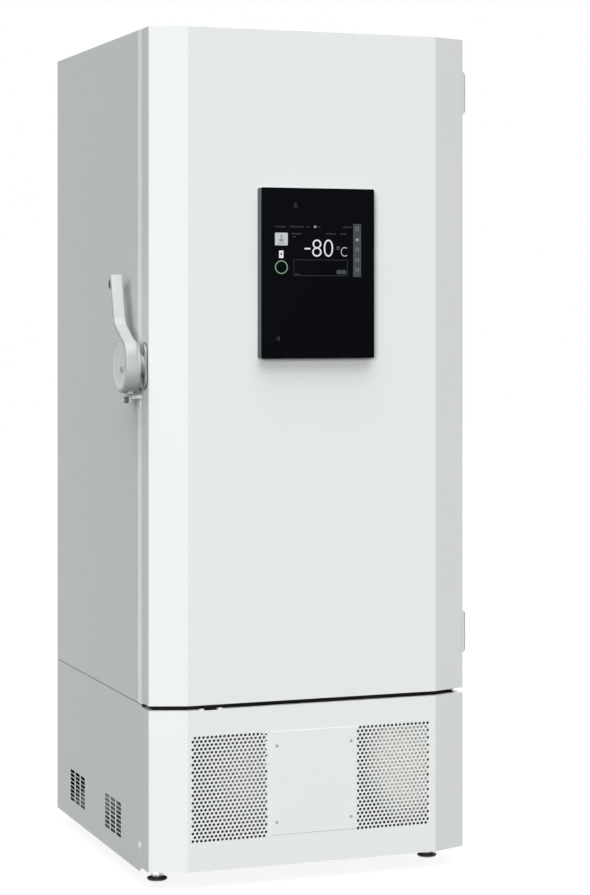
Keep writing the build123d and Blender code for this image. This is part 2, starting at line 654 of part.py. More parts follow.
def hinges(inner_hinges):
    """Leaves on the door, brackets on the cabinet, and the pins, at two heights."""
    leaves = []
    brackets = []
    pins = []
    barrel = (HINGE_X, HINGE_Y)
    for centre in HINGE_CENTRES:
        low = centre - HINGE_HEIGHT / 2
        high = centre + HINGE_HEIGHT / 2
        door_low = centre - DOOR_KNUCKLE / 2
        door_high = centre + DOOR_KNUCKLE / 2
        plate_y = (FRONT + LEAF_START, DOOR_REAR - KNUCKLE_GAP)
        plate = block((HALF, HALF + LEAF_THICKNESS), plate_y, (low, high))
        rim = plate.faces().sort_by(Axis.X)[-1].edges()
        plate = chamfer(rim.filter_by(Axis.Y) + rim.filter_by(Axis.Z).sort_by(Axis.Y)[:1], LEAF_CHAMFER)
        neck_y = (DOOR_REAR - NECK_OVERLAP, HINGE_Y)
        neck = block((HALF + 2 * KNUCKLE_GAP, HINGE_X + HINGE_PIN_RADIUS), neck_y, (door_low, door_high))
        knuckle = rod("Z", barrel, KNUCKLE_RADIUS, door_low, door_high)
        bore = rod("Z", barrel, HINGE_PIN_RADIUS + RUN_FIT, door_low, door_high)
        leaves.append(plate + neck + knuckle - bore)
        for start, end in ((low, door_low - KNUCKLE_GAP), (door_high + KNUCKLE_GAP, high)):
            base = block((HALF, HALF + BRACKET_BASE[0]), (HINGE_Y, HINGE_Y + BRACKET_BASE[1]), (start, end))
            web = block((HALF, HINGE_X), (HINGE_Y, HINGE_Y + BRACKET_WEB), (start, end))
            eye = rod("Z", barrel, KNUCKLE_RADIUS, start, end)
            brackets.append(base + web + eye - rod("Z", barrel, HINGE_PIN_RADIUS, start, end))
        head = rod("Z", barrel, PIN_HEAD[0], high, high + PIN_HEAD[1])
        pins.append(rod("Z", barrel, HINGE_PIN_RADIUS, low, high) + head)
    write("hinge_leaves", leaves)
    write("hinge_brackets", brackets + inner_hinges)
    write("hinge_pins", pins)


def latch():
    """Escutcheon with its spindle, lever with hub and claw, cap, lock barrel, and the strike."""
    side = -HALF
    plate_face = side - ESCUTCHEON
    centre = (HUB_Y, HUB_Z)
    plate = extrude(
        Plane.YZ.offset(plate_face)
        * Pos(*centre)
        * SlotOverall(ESCUTCHEON_HEIGHT, ESCUTCHEON_WIDTH, rotation=90),
        ESCUTCHEON,
    )
    plate = fillet(plate.faces().sort_by(Axis.X)[0].edges(), ESCUTCHEON_EDGE)
    spindle = rod("X", centre, SPINDLE_RADIUS, side - SPINDLE_END, plate_face)
    write("handle_escutcheon", plate + spindle)

    outer = side - LATCH_OUTER
    drum = rod("X", centre, DRUM_RADIUS, outer, side - DRUM_INNER)
    drum = fillet(drum.edges().filter_by(GeomType.CIRCLE), DRUM_EDGE)
    arm_path = FilletPolyline(*LEVER_POINTS, radius=LEVER_BENDS)
    arm_face = trace(arm_path, LEVER_THICKNESS)
    arm = extrude(Plane.YZ.offset(outer) * arm_face, LEVER_WIDTH)
    neck = rod("X", centre, NECK_RADIUS, side - DRUM_INNER, plate_face - KNUCKLE_GAP)
    claw_x = side - STRIKE_REACH - CLAW_AIR
    claw_face = annular_sector(DRUM_RADIUS - CLAW_ROOT, CLAW_RADIUS, *CLAW_ANGLES)
    claw = extrude(Plane.YZ.offset(claw_x - ROLLER_WIDTH) * Pos(*centre) * claw_face, ROLLER_WIDTH)
    lever = drum + arm + neck + claw
    spindle_end = side - SPINDLE_END - KNUCKLE_GAP
    lever -= rod("X", centre, SPINDLE_RADIUS + RUN_FIT, spindle_end, plate_face)
    cap_seat = rod("X", centre, CAP_RADIUS, outer, outer + CAP_THICKNESS)
    lock_hole = rod("X", (LOCK_Y, LOCK_Z), LOCK_RADIUS + RUN_FIT, outer, outer + LOCK_DEPTH)
    lever = lever - cap_seat - lock_hole
    cap = cap_seat - lock_hole
    barrel = rod("X", (LOCK_Y, LOCK_Z), LOCK_RADIUS, outer, outer + LOCK_DEPTH)
    barrel -= Pos(outer + KEYWAY[0] / 2, LOCK_Y, LOCK_Z) * Box(*KEYWAY)
    tip = Vector(*LEVER_POINTS[-1])
    along = (tip - Vector(*LEVER_POINTS[-2])).normalized()
    behind = Vector(along.Y, -along.X)
    seat = tip - along * BUMPER_DROP + behind * (LEVER_THICKNESS / 2 + BUMPER_RADIUS - BUMPER_SEAT)
    bumper_x = (outer + BUMPER_INSET, outer + LEVER_WIDTH - BUMPER_INSET)
    bumper = rod("X", (seat.X, seat.Y), BUMPER_RADIUS, *bumper_x) - arm
    write("latch_lever", lever)
    write("lever_cap", cap)
    write("lock_barrel", barrel)
    write("lever_bumper", bumper)

    z_range = (STRIKE_Z - STRIKE_HEIGHT / 2, STRIKE_Z + STRIKE_HEIGHT / 2)
    base_face = side - STRIKE_BASE
    base_y = (FRAME_FACE + STRIKE_MARGIN, SHELL_FRONT - STRIKE_MARGIN)
    base = block((base_face, side), base_y, STRIKE_BASE_Z)
    arm_1 = block((base_face - STRIKE_SHEET, base_face), (STRIKE_Y, base_y[1]), z_range)
    arm_y = (STRIKE_Y - STRIKE_ARM / 2, STRIKE_Y + STRIKE_ARM / 2)
    arm_2 = block((side - STRIKE_REACH, base_face), arm_y, z_range)
    ear = block(
        (side - STRIKE_REACH, side - STRIKE_REACH + STRIKE_SHEET),
        (STRIKE_Y - EAR_HALF, STRIKE_Y + EAR_HALF),
        (STRIKE_Z - ROLLER_DROP - EAR_HALF, z_range[1]),
    )
    axle_z = STRIKE_Z - ROLLER_DROP
    roller_end = side - STRIKE_REACH - CLAW_AIR - ROLLER_WIDTH
    roller = rod("X", (STRIKE_Y, axle_z), ROLLER_RADIUS, roller_end, side - STRIKE_REACH - CLAW_AIR)
    roller = fillet(roller.edges().filter_by(GeomType.CIRCLE), ROLLER_EDGE)
    roller -= rod("X", (STRIKE_Y, axle_z), ROLLER_PIN_RADIUS, roller_end, side)
    pin = rod("X", (STRIKE_Y, axle_z), ROLLER_PIN_RADIUS, roller_end - ROLLER_PIN_END, side - STRIKE_REACH)
    write("strike_bracket", base + arm_1 + arm_2 + ear + pin)
    write("strike_roller", roller)


def annular_sector(inner, outer, start, end):
    """A flat ring segment between two angles."""
    points = [(cos(radians(a)), sin(radians(a))) for a in (start, (start + end) / 2, end)]
    outer_arc = ThreePointArc(*[(outer * x, outer * y) for x, y in points])
    inner_arc = ThreePointArc(*[(inner * x, inner * y) for x, y in points])
    ends = [Line(inner_arc @ 0, outer_arc @ 0), Line(inner_arc @ 1, outer_arc @ 1)]
    return make_face([outer_arc, inner_arc, *ends])


def perforation_centres(start_x):
    """The middles of the holes of a field that starts there, in rows shifted by half a pitch in turn."""
    row_pitch = HOLE_PITCH * sin(radians(60))
    rows = int((GRILLE_TOP - GRILLE_BOTTOM) / row_pitch) + 1
    columns = int(GRILLE_WIDTH / HOLE_PITCH) + 1
    first_z = (GRILLE_TOP + GRILLE_BOTTOM - (rows - 1) * row_pitch) / 2
    first_x = start_x + (GRILLE_WIDTH - (columns - 1) * HOLE_PITCH) / 2
    centres = []
    for row in range(rows):
        start = first_x + (HOLE_PITCH / 4 if row % 2 else -HOLE_PITCH / 4)
        centres += [(start + column * HOLE_PITCH, first_z + row * row_pitch) for column in range(columns)]
    return centres


def front_panel():
    """Folded lower front panel with two perforated fields, its cover plate and the screws."""
    bottom = FRONT_PANEL_BOTTOM
    top = FRONT_PANEL_TOP
    panel = front_prism(0, PANEL_REAR, bottom, top)
    panel -= front_prism(PANEL_SHEET, PANEL_REAR, bottom + PANEL_SHEET, top - PANEL_SHEET)
    panel -= front_prism(PANEL_FLANGE, PANEL_REAR, bottom, top)
    notch = block(
        (NOTCH_X - NOTCH_WIDTH / 2, NOTCH_X + NOTCH_WIDTH / 2),
        (FRONT, FRONT + PANEL_FLANGE),
        (top - NOTCH_DEPTH, top),
    )
    panel -= notch
    tab_width, tab_height = NOTCH_TAB
    for tab_x in (NOTCH_X - NOTCH_WIDTH / 2 - tab_width, NOTCH_X + NOTCH_WIDTH / 2):
        panel += block(
            (tab_x, tab_x + tab_width),
            (FRONT, FRONT + PANEL_SHEET),
            (top - PANEL_SHEET, top + tab_height),
        )
    screw_holes = [
        rod("Y", (x, z), SCREW_SHANK_RADIUS, FRONT - COVER_PROUD, FRONT + SCREW_SHANK)
        for x in (-SCREW_X, SCREW_X)
        for z in SCREW_HEIGHTS
    ]
    low, high = GRILLE_BOTTOM - GRILLE_MARGIN, GRILLE_TOP + GRILLE_MARGIN
    for start in GRILLE_STARTS:
        left, right = start - GRILLE_MARGIN, start + GRILLE_WIDTH + GRILLE_MARGIN
        outline = Polyline((left, low), (right, low), (right, high), (left, high), close=True)
        holes = [Wire.make_circle(HOLE_RADIUS, Plane((x, z, 0))) for x, z in perforation_centres(start)]
        field = Face(Wire(outline.edges()), holes)
        panel -= block((left, right), (FRONT, FRONT + PANEL_SHEET), (low, high))
        panel += Plane.XZ.offset(-FRONT) * extrude(field, -PANEL_SHEET)
    panel -= screw_holes
    cover = block((-COVER_HALF, COVER_HALF), (FRONT - COVER_PROUD, FRONT), (COVER_BOTTOM, COVER_TOP))
    cover = fillet(cover.edges().filter_by(Axis.Y), COVER_CORNER)
    cover = fillet(cover.faces().sort_by(Axis.Y)[0].edges(), COVER_EDGE)
    cover -= screw_holes
    heads = [
        rod("Y", (x, z), SCREW_RADIUS, FRONT - COVER_PROUD - SCREW_HEAD, FRONT - COVER_PROUD)
        for x in (-SCREW_X, SCREW_X)
        for z in SCREW_HEIGHTS
    ]
    write("lower_front_panel", panel)
    write("centre_cover", cover)
    write("cover_screws", [head + shank for head, shank in zip(heads, screw_holes)])


def slot_group(centre_y, centre_z, row_pitch):
    """Columns of short horizontal slots through a side panel."""
    slots = []
    for column in range(SLOT_COLUMNS):
        y = centre_y + (column - (SLOT_COLUMNS - 1) / 2) * SLOT_PITCH_Y
        for row in range(SLOT_ROWS):
            z = centre_z + (row - (SLOT_ROWS - 1) / 2) * row_pitch
            slots.append(
                block(
                    (HALF - PANEL_SHEET, HALF),
                    (y - SLOT_LENGTH / 2, y + SLOT_LENGTH / 2),
                    (z - SLOT_HEIGHT / 2, z + SLOT_HEIGHT / 2),
                )
            )
    return slots


def machine_panels():
    """Side panels, rear panel with louvres, and the plug, inlet and spacers on them."""
    panel = block((HALF - PANEL_SHEET, HALF), (SIDE_PANEL_FRONT, BACK), (SIDE_PANEL_BOTTOM, MACHINE_TOP))
    panel -= block(
        (HALF - PANEL_SHEET, HALF),
        (SIDE_PANEL_FRONT, SIDE_PANEL_FRONT + SIDE_NOTCH[0]),
        (SIDE_PANEL_BOTTOM, SIDE_PANEL_BOTTOM + SIDE_NOTCH[1]),
    )
    for group in SLOT_GROUPS:
        panel -= slot_group(*group)
    left = mirror(panel, Plane.YZ)
    hole = rod("X", (SIDE_PLUG_Y, SIDE_PLUG_Z), SIDE_PLUG_STEM, -HALF, -HALF + PANEL_SHEET)
    left -= hole
    plug = rod("X", (SIDE_PLUG_Y, SIDE_PLUG_Z), SIDE_PLUG_RADIUS, -HALF - SIDE_PLUG_HEAD, -HALF)
    write("side_panel_right", panel)
    write("side_panel_left", left)
    write("side_plug", plug + hole)

    inner = HALF - PANEL_SHEET
    rear = block((-inner, inner), (BACK - PANEL_SHEET, BACK), (SIDE_PANEL_BOTTOM, MACHINE_TOP))
    slots = []
    for column in range(REAR_SLOT_COLUMNS):
        x = (column - (REAR_SLOT_COLUMNS - 1) / 2) * REAR_SLOT_PITCH_X
        for row in range(REAR_SLOT_ROWS):
            z = REAR_SLOT_Z + (row - (REAR_SLOT_ROWS - 1) / 2) * REAR_SLOT_PITCH
            slots.append(
                block(
                    (x - REAR_SLOT_LENGTH / 2, x + REAR_SLOT_LENGTH / 2),
                    (BACK - PANEL_SHEET, BACK),
                    (z - SLOT_HEIGHT / 2, z + SLOT_HEIGHT / 2),
                )
            )
    inlet = (INLET_X, INLET_Z)
    inlet_y = (BACK - INLET_LENGTHS[0], BACK + INLET_LENGTHS[1])
    inlet_hole = rod("Y", inlet, INLET_THREAD, inlet_y[0], BACK)
    rear = rear - slots - inlet_hole
    write("rear_panel", rear)
    gland = inlet_hole + rod("Y", inlet, INLET_RADIUS, BACK, inlet_y[1])
    gland -= rod("Y", inlet, INLET_BORE, *inlet_y)
    write("power_inlet", gland)
    spacer = rod("Y", (SPACER_X, SPACER_Z), SPACER_RADIUS, BACK, BACK + SPACER_LENGTH)
    write("rear_spacers", both_sides(spacer))
    half = ELECTRICAL_BOX[0] / 2
    box = block(
        (-half, half),
        (BACK - PANEL_SHEET - ELECTRICAL_BOX[1], BACK - PANEL_SHEET),
        (ELECTRICAL_BOX_Z - ELECTRICAL_BOX[2] / 2, ELECTRICAL_BOX_Z + ELECTRICAL_BOX[2] / 2),
    )
    write("electrical_box", fillet(box.edges().filter_by(Axis.Y), ELECTRICAL_BOX_RADIUS))


def base():
    """Floor pan with foot bosses and caster spigots, and the frame that carries the cabinet."""
    inner = HALF - PANEL_SHEET
    rear = BACK - PANEL_SHEET
    pan_top = PAN_UNDER + PAN_SHEET
    pan = block((-inner, inner), (CONDENSER_FRONT - FILTER_DEPTH, rear), (PAN_UNDER, pan_top))
    pan &= front_prism(PANEL_SHEET, rear, PAN_UNDER, pan_top)
    for x in (-FOOT_X, FOOT_X):
        pan += rod("Z", (x, FOOT_Y), FOOT_BOSS_RADIUS, PAN_UNDER - FOOT_BOSS, PAN_UNDER)
        pan -= rod("Z", (x, FOOT_Y), FOOT_STEM_RADIUS + RUN_FIT, PAN_UNDER - FOOT_BOSS, pan_top)
    for x in (-CASTER_X, CASTER_X):
        for y in CASTER_YS:
            pan += rod("Z", (x, y), SPIGOT_RADIUS, PAN_UNDER - FORK_CROWN - FORK_GAP, PAN_UNDER)
    write("base_pan", pan)

    front = PANEL_REAR - POST + POST_OVERLAP
    rail_z = (CABINET_BOTTOM - RAIL_HEIGHT, CABINET_BOTTOM)
    posts = []
    for y in (front, rear - POST):
        posts += both_sides(block((inner - POST, inner), (y, y + POST), (pan_top, rail_z[0])))
    rails = both_sides(block((inner - POST, inner), (FRAME_FACE, rear), rail_z))
    reach = inner - POST
    rails.append(block((-reach, reach), (FRAME_FACE, FRAME_FACE + POST), rail_z))
    rails.append(block((-reach, reach), (rear - POST, rear), rail_z))
    write("base_frame", posts + rails)


def condenser():
    """One condenser as fins on a spine, drawn in plan and extruded to its height."""
    half = CONDENSER_WIDTH / 2
    depth = (CONDENSER_FRONT, CONDENSER_FRONT + CONDENSER_DEPTH)
    middle = sum(depth) / 2
    high = (CONDENSER_BOTTOM, CONDENSER_BOTTOM + CONDENSER_HEIGHT)
    body = block((-half, half), (middle - CONDENSER_SPINE / 2, middle + CONDENSER_SPINE / 2), high)
    count = int(CONDENSER_WIDTH / FIN_PITCH)
    fins = []
    for n in range(count + 1):
        x = (n - count / 2) * (CONDENSER_WIDTH - FIN_SHEET) / count
        fins.append(block((x - FIN_SHEET / 2, x + FIN_SHEET / 2), depth, high))
    return body + fins


def circuits():
    """Condensers, filters, fans, compressors and their lines, a set on each side."""
    fins = condenser()
    rear = CONDENSER_FRONT + CONDENSER_DEPTH
    half = CONDENSER_WIDTH / 2
    floor = PAN_UNDER + PAN_SHEET
    stand = block((-half, half), (CONDENSER_FRONT, rear), (floor, CONDENSER_BOTTOM))
    gap = half - STAND_SHEET
    stand -= block((-gap, gap), (CONDENSER_FRONT, rear), (floor, CONDENSER_BOTTOM - STAND_SHEET))
    condenser_set = [Pos(x, 0, 0) * piece for x in (-CIRCUIT_X, CIRCUIT_X) for piece in (fins, stand)]
    write("condensers", condenser_set)

    high = (floor, CONDENSER_BOTTOM + CONDENSER_HEIGHT)
    filter_y = (CONDENSER_FRONT - FILTER_DEPTH, CONDENSER_FRONT)
    screen = block((-half, half), filter_y, high)
    screen -= block(
        (-half + FILTER_RIM, half - FILTER_RIM),
        (filter_y[0], filter_y[1] - FILTER_WEB),
        (high[0] + FILTER_RIM, high[1] - FILTER_RIM),
    )
    write("condenser_filters", [Pos(x, 0, 0) * screen for x in (-CIRCUIT_X, CIRCUIT_X)])

    fan_z = CONDENSER_BOTTOM + CONDENSER_HEIGHT / 2
    bore = FAN_RADIUS + FAN_TIP_GAP
    shroud = block((-half, half), (rear, rear + SHROUD_SHEET), high)
    shroud += rod("Y", (0, fan_z), bore + SHROUD_SHEET, rear, rear + SHROUD_COLLAR)
    shroud -= rod("Y", (0, fan_z), bore, rear, rear + SHROUD_COLLAR)
    fan_front = rear + FAN_AIR
    fan_rear = fan_front + FAN_DEPTH
    motor_front = fan_rear + MOTOR_AIR
    motor = rod("Y", (0, fan_z), MOTOR_RADIUS, motor_front, motor_front + MOTOR_LENGTH)
    motor = fillet(motor.edges().filter_by(GeomType.CIRCLE), MOTOR_EDGE)
    shaft = rod("Y", (0, fan_z), MOTOR_SHAFT_RADIUS, fan_front, motor_front + SHAFT_SEAT)
    collar_rear = rear + SHROUD_COLLAR
    strut_y = (motor_front, motor_front + STRUT)
    for angle in (0, 90, 180, 270):
        strut_z = (-STRUT / 2, STRUT / 2)
        beam = block((MOTOR_RADIUS - STRUT_ROOT, bore + SHROUD_SHEET), strut_y, strut_z)
        foot = block((bore, bore + SHROUD_SHEET), (collar_rear - STRUT, strut_y[1]), strut_z)
        shroud += Pos(0, 0, fan_z) * Rot(0, angle, 0) * (beam + foot)
    shroud -= rod("Y", (0, fan_z), MOTOR_RADIUS, motor_front, motor_front + MOTOR_LENGTH)
    mounts = [Pos(x, 0, 0) * piece for x in (-CIRCUIT_X, CIRCUIT_X) for piece in (shroud, motor + shaft)]
    write("fan_mounts", mounts)

    hub = rod("Y", (0, fan_z), FAN_HUB_RADIUS, fan_front, fan_rear)
    fan = fillet(hub.edges().filter_by(GeomType.CIRCLE), FAN_HUB_EDGE)
    mid = (fan_front + fan_rear) / 2
    root = FAN_HUB_RADIUS - BLADE_ROOT
    for n in range(FAN_BLADES):
        blade = Pos((root + FAN_RADIUS) / 2, 0, 0) * Rot(FAN_BLADE_PITCH, 0, 0)
        blade *= Box(FAN_RADIUS - root, FAN_BLADE_SHEET, BLADE_CHORD)
        fan += Pos(0, mid, fan_z) * Rot(0, n * 360 / FAN_BLADES, 0) * blade
    fan &= rod("Y", (0, fan_z), FAN_RADIUS, fan_front, fan_rear)
    fan -= rod("Y", (0, fan_z), MOTOR_SHAFT_RADIUS + RUN_FIT, fan_front, fan_rear)
    write("fan_left", Pos(-CIRCUIT_X, 0, 0) * fan)
    write("fan_right", Pos(CIRCUIT_X, 0, 0) * fan)

    seat = floor + GROMMET_HEIGHT
    can_low = seat + COMPRESSOR_WALL
    can_top = can_low + COMPRESSOR_HEIGHT
    foot_x, foot_y = COMPRESSOR_FEET
    plate = block((-foot_x, foot_x), (-foot_y, foot_y), (seat, can_low))
    can = rod("Z", (0, 0), COMPRESSOR_RADIUS, can_low, can_top)
    can = fillet(can.edges().group_by(Axis.Z)[-1], COMPRESSOR_DOME)
    core_radius = COMPRESSOR_RADIUS - COMPRESSOR_WALL
    core = rod("Z", (0, 0), core_radius, can_low + COMPRESSOR_WALL, can_top - COMPRESSOR_WALL)
    core = fillet(core.edges().group_by(Axis.Z)[-1], COMPRESSOR_DOME - COMPRESSOR_WALL)
    terminal = Pos(0, COMPRESSOR_RADIUS + TERMINAL_PROUD / 2, (can_low + can_top) / 2) * Box(*TERMINAL_BOX)
    body = plate + can + terminal - core
    hole_x = foot_x - GROMMET_RADIUS
    hole_y = foot_y - GROMMET_RADIUS
    grommet = Cylinder(GROMMET_RADIUS, GROMMET_HEIGHT, align=(Align.CENTER, Align.CENTER, Align.MIN))
    compressor_set = []
    grommets = []
    for x in (-CIRCUIT_X, CIRCUIT_X):
        compressor_set.append(Pos(x, COMPRESSOR_Y, 0) * body)
        for dx in (-hole_x, hole_x):
            for dy in (-hole_y, hole_y):
                grommets.append(Pos(x + dx, COMPRESSOR_Y + dy, floor) * grommet)
    write("compressors", compressor_set + grommets)
    write("refrigerant_lines", lines(can_top))


def tube(points):
    """A pipe along straight runs with tangent bends."""
    path = FilletPolyline(*points, radius=PIPE_BEND)
    return sweep(Plane(origin=path @ 0, z_dir=path % 0) * Circle(PIPE_RADIUS), path)


def lines(can_top):
    """Discharge, liquid and suction lines and the drier of each circuit."""
    pieces = []
    port_y = COMPRESSOR_Y - PORT_Y
    over = can_top + LINE_RISE
    suction_y = COMPRESSOR_Y + SUCTION_OFFSET
    riser_y = BACK - RISER_INSET
    drier_y = COMPRESSOR_Y + DRIER_OFFSET
    drier_range = (drier_y - DRIER_LENGTH / 2, drier_y + DRIER_LENGTH / 2)
    condenser_y = CONDENSER_FRONT + CONDENSER_DEPTH / 2
    upper = CONDENSER_BOTTOM + CONDENSER_HEIGHT - LINE_INSET
    lower = CONDENSER_BOTTOM + LINE_INSET
    for side in (-1, 1):
        middle = side * CIRCUIT_X
        edge = middle + side * CONDENSER_WIDTH / 2
        outer = edge + side * LINE_OFFSET
        port = middle + side * PORT_X
        return_port = middle - side * PORT_X
        discharge = [
            (port, port_y, can_top),
            (port, port_y, over),
            (outer, port_y, over),
            (outer, condenser_y, over),
            (outer, condenser_y, upper),
            (edge, condenser_y, upper),
        ]
        liquid = [(edge, condenser_y, lower), (outer, condenser_y, lower), (outer, drier_range[0], lower)]
        liquid_rise = [
            (outer, drier_range[1], lower),
            (outer, riser_y, lower),
            (outer, riser_y, CABINET_BOTTOM - RAIL_HEIGHT),
        ]
        suction = [
            (return_port, port_y, can_top),
            (return_port, port_y, over),
            (return_port, suction_y, over),
            (return_port, suction_y, CABINET_BOTTOM),
        ]
        runs = [tube(run) for run in (discharge, liquid, liquid_rise, suction)]
        drier = rod("Y", (outer, lower), DRIER_RADIUS, *drier_range)
        pieces += [*runs, drier]
    return pieces


def feet():
    for name, x in (("left", -FOOT_X), ("right", FOOT_X)):
        pad = Pos(x, FOOT_Y, 0) * extrude(Circle(FOOT_RADIUS), FOOT_PAD, taper=FOOT_FLARE)
        hexagon = RegularPolygon(FOOT_NUT, 6, major_radius=False)
        nut = Pos(x, FOOT_Y, FOOT_PAD) * extrude(hexagon, FOOT_NUT_HEIGHT)
        stem_top = PAN_UNDER + PAN_SHEET + FOOT_TRAVEL + FOOT_STEM_SPARE
        stem = rod("Z", (x, FOOT_Y), FOOT_STEM_RADIUS, FOOT_PAD, stem_top)
        write(f"levelling_foot_{name}", pad + nut + stem)


def caster(axle_z):
    """A swivel fork with its axle, and the wheel, about the swivel's axis; the wheel trails behind."""
    crown_z = (PAN_UNDER - FORK_GAP / 2 - FORK_CROWN, PAN_UNDER - FORK_GAP / 2)
    fork = rod("Z", (0, 0), FORK_RADIUS, *crown_z)
    leg_x = WHEEL_WIDTH / 2 + FORK_GAP
    outline = Polyline(
        (-LEG_FRONT, crown_z[0] + LEG_ROOT),
        (CASTER_TRAIL - FORK_EYE, axle_z),
        (CASTER_TRAIL + FORK_EYE, axle_z),
        (LEG_REAR, crown_z[0] + LEG_ROOT),
        close=True,
    )
    leg = extrude(Plane.YZ.offset(leg_x) * make_face(outline), FORK_SHEET)
    leg += rod("X", (CASTER_TRAIL, axle_z), FORK_EYE, leg_x, leg_x + FORK_SHEET)
    fork += both_sides(leg)
    fork += rod("X", (CASTER_TRAIL, axle_z), AXLE_RADIUS, -leg_x, leg_x)
    fork -= rod("Z", (0, 0), SPIGOT_RADIUS + RUN_FIT, *crown_z)
    wheel = rod("X", (CASTER_TRAIL, axle_z), WHEEL_RADIUS, -WHEEL_WIDTH / 2, WHEEL_WIDTH / 2)
    wheel = fillet(wheel.edges().filter_by(GeomType.CIRCLE), WHEEL_EDGE)
    wheel -= rod("X", (CASTER_TRAIL, axle_z), AXLE_RADIUS + RUN_FIT, -WHEEL_WIDTH / 2, WHEEL_WIDTH / 2)
    return fork, wheel


def casters():
    for end, y, lift in (("front", CASTER_YS[0], FRONT_WHEEL_LIFT), ("rear", CASTER_YS[1], 0)):
        fork, wheel = caster(WHEEL_RADIUS + lift)
        for side, x in (("left", -CASTER_X), ("right", CASTER_X)):
            write(f"caster_fork_{end}_{side}", Pos(x, y, 0) * fork)
            write(f"caster_wheel_{end}_{side}", Pos(x, y, 0) * wheel)


def main():
    cabinet()
    chamber()
    inner_hinges = inner_doors()
    outer_door()
    hinges(inner_hinges)
    latch()
    front_panel()
    machine_panels()
    base()
    circuits()
    feet()
    casters()


main()
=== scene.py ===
# An upright laboratory freezer, put together from its base upwards: running gear, machine compartment,
# cabinet, chamber, inner doors, outer door, hinges, latch and display. The scene is in metres and its
# front faces -Y; the sizes of the pieces are in millimetres, unless a comment says metres.
import math

import bmesh
import bpy
from mathutils import Matrix, Vector


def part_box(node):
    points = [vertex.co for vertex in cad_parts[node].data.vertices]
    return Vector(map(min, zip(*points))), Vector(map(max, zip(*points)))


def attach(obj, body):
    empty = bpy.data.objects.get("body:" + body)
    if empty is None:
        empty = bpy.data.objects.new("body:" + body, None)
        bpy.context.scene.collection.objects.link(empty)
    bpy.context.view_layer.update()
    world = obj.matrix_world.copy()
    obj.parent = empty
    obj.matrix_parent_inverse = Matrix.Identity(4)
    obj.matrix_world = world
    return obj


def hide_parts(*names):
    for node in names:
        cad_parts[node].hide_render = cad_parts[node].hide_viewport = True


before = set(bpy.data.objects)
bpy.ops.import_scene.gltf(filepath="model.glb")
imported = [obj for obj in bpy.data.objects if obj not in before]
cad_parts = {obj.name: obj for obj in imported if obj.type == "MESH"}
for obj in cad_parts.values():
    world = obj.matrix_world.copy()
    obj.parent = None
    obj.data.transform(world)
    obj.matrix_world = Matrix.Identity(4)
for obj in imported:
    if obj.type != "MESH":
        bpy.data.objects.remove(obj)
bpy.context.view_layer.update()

MM = 0.001
cabinet_low, cabinet_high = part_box("cabinet_shell")
MIDDLE = (cabinet_low.x + cabinet_high.x) / 2
BACK = cabinet_high.y


# Camera. The photograph is taken from the front left, from two thirds of the cabinet's height, with a
# level camera whose frame is shifted rather than tilted, so that the upright edges stay upright.
IMAGE_WIDTH = 590
IMAGE_HEIGHT = 895
FOCAL_PIXELS = 2409
PRINCIPAL = (350, 310.5)
CAMERA_YAW = 21.08
CAMERA_HEIGHT = 1.338
CAMERA_LEFT = 1.958
CAMERA_AHEAD = 5.755
CABINET_HALF_DEPTH = 0.441
SENSOR = 36

camera_data = bpy.data.cameras.new("camera")
camera_data.sensor_fit = "VERTICAL"
camera_data.sensor_height = SENSOR
camera_data.lens = SENSOR * FOCAL_PIXELS / IMAGE_HEIGHT
camera_data.shift_x = (IMAGE_WIDTH / 2 - PRINCIPAL[0]) / IMAGE_HEIGHT
camera_data.shift_y = (PRINCIPAL[1] - IMAGE_HEIGHT / 2) / IMAGE_HEIGHT
camera = bpy.data.objects.new("camera", camera_data)
camera.location = (MIDDLE - CAMERA_LEFT, BACK - CABINET_HALF_DEPTH - CAMERA_AHEAD, CAMERA_HEIGHT)
camera.rotation_euler = (math.radians(90), 0, math.radians(-CAMERA_YAW))
bpy.context.scene.collection.objects.link(camera)
bpy.context.scene.camera = camera
bpy.context.scene.view_settings.view_transform = "Standard"


# Studio. A large soft key high in front, a low lamp on the left that throws the shadow of the latch, a
# faint lamp and a soft one from behind, a white surround, and a white floor that keeps the shadow of the
# feet. Each lamp has the direction towards it, its strength and the angle across its disc in degrees.
KEY = ((-0.333, -1.437, 2.520), 2.98, 60)
LOW_LAMP = ((-1.160, -1.980, 0.340), 2.20, 20)
SIDE_LAMP = ((-0.80, 0.60, 0.30), 0.09, 12)
REAR_LAMP = ((0.55, 0.75, 0.32), 2.35, 36)
SURROUND_LIGHT = 0.04
FLOOR_SIZE = 40
FLOOR_GLOW = 0.90
FLOOR_SHADE = 0.14
FLOOR_BOUNCE = 0.05


def lamp(name, toward, strength, softness):
    """A sun lamp that shines from the direction toward."""
    data = bpy.data.lights.new(name, "SUN")
    data.energy = strength
    data.angle = math.radians(softness)
    holder = bpy.data.objects.new(name, data)
    holder.rotation_euler = Vector(toward).to_track_quat("Z", "Y").to_euler()
    bpy.context.scene.collection.objects.link(holder)


def seen_directly(tree):
    """1 for rays that show the surround itself: from the camera, off gloss or through glass."""
    rays = tree.nodes.new("ShaderNodeLightPath")
    total = rays.outputs["Is Camera Ray"]
    for kind in ("Is Glossy Ray", "Is Transmission Ray"):
        both = tree.nodes.new("ShaderNodeMath")
        both.operation = "MAXIMUM"
        tree.links.new(total, both.inputs[0])
        tree.links.new(rays.outputs[kind], both.inputs[1])
        total = both.outputs[0]
    return total


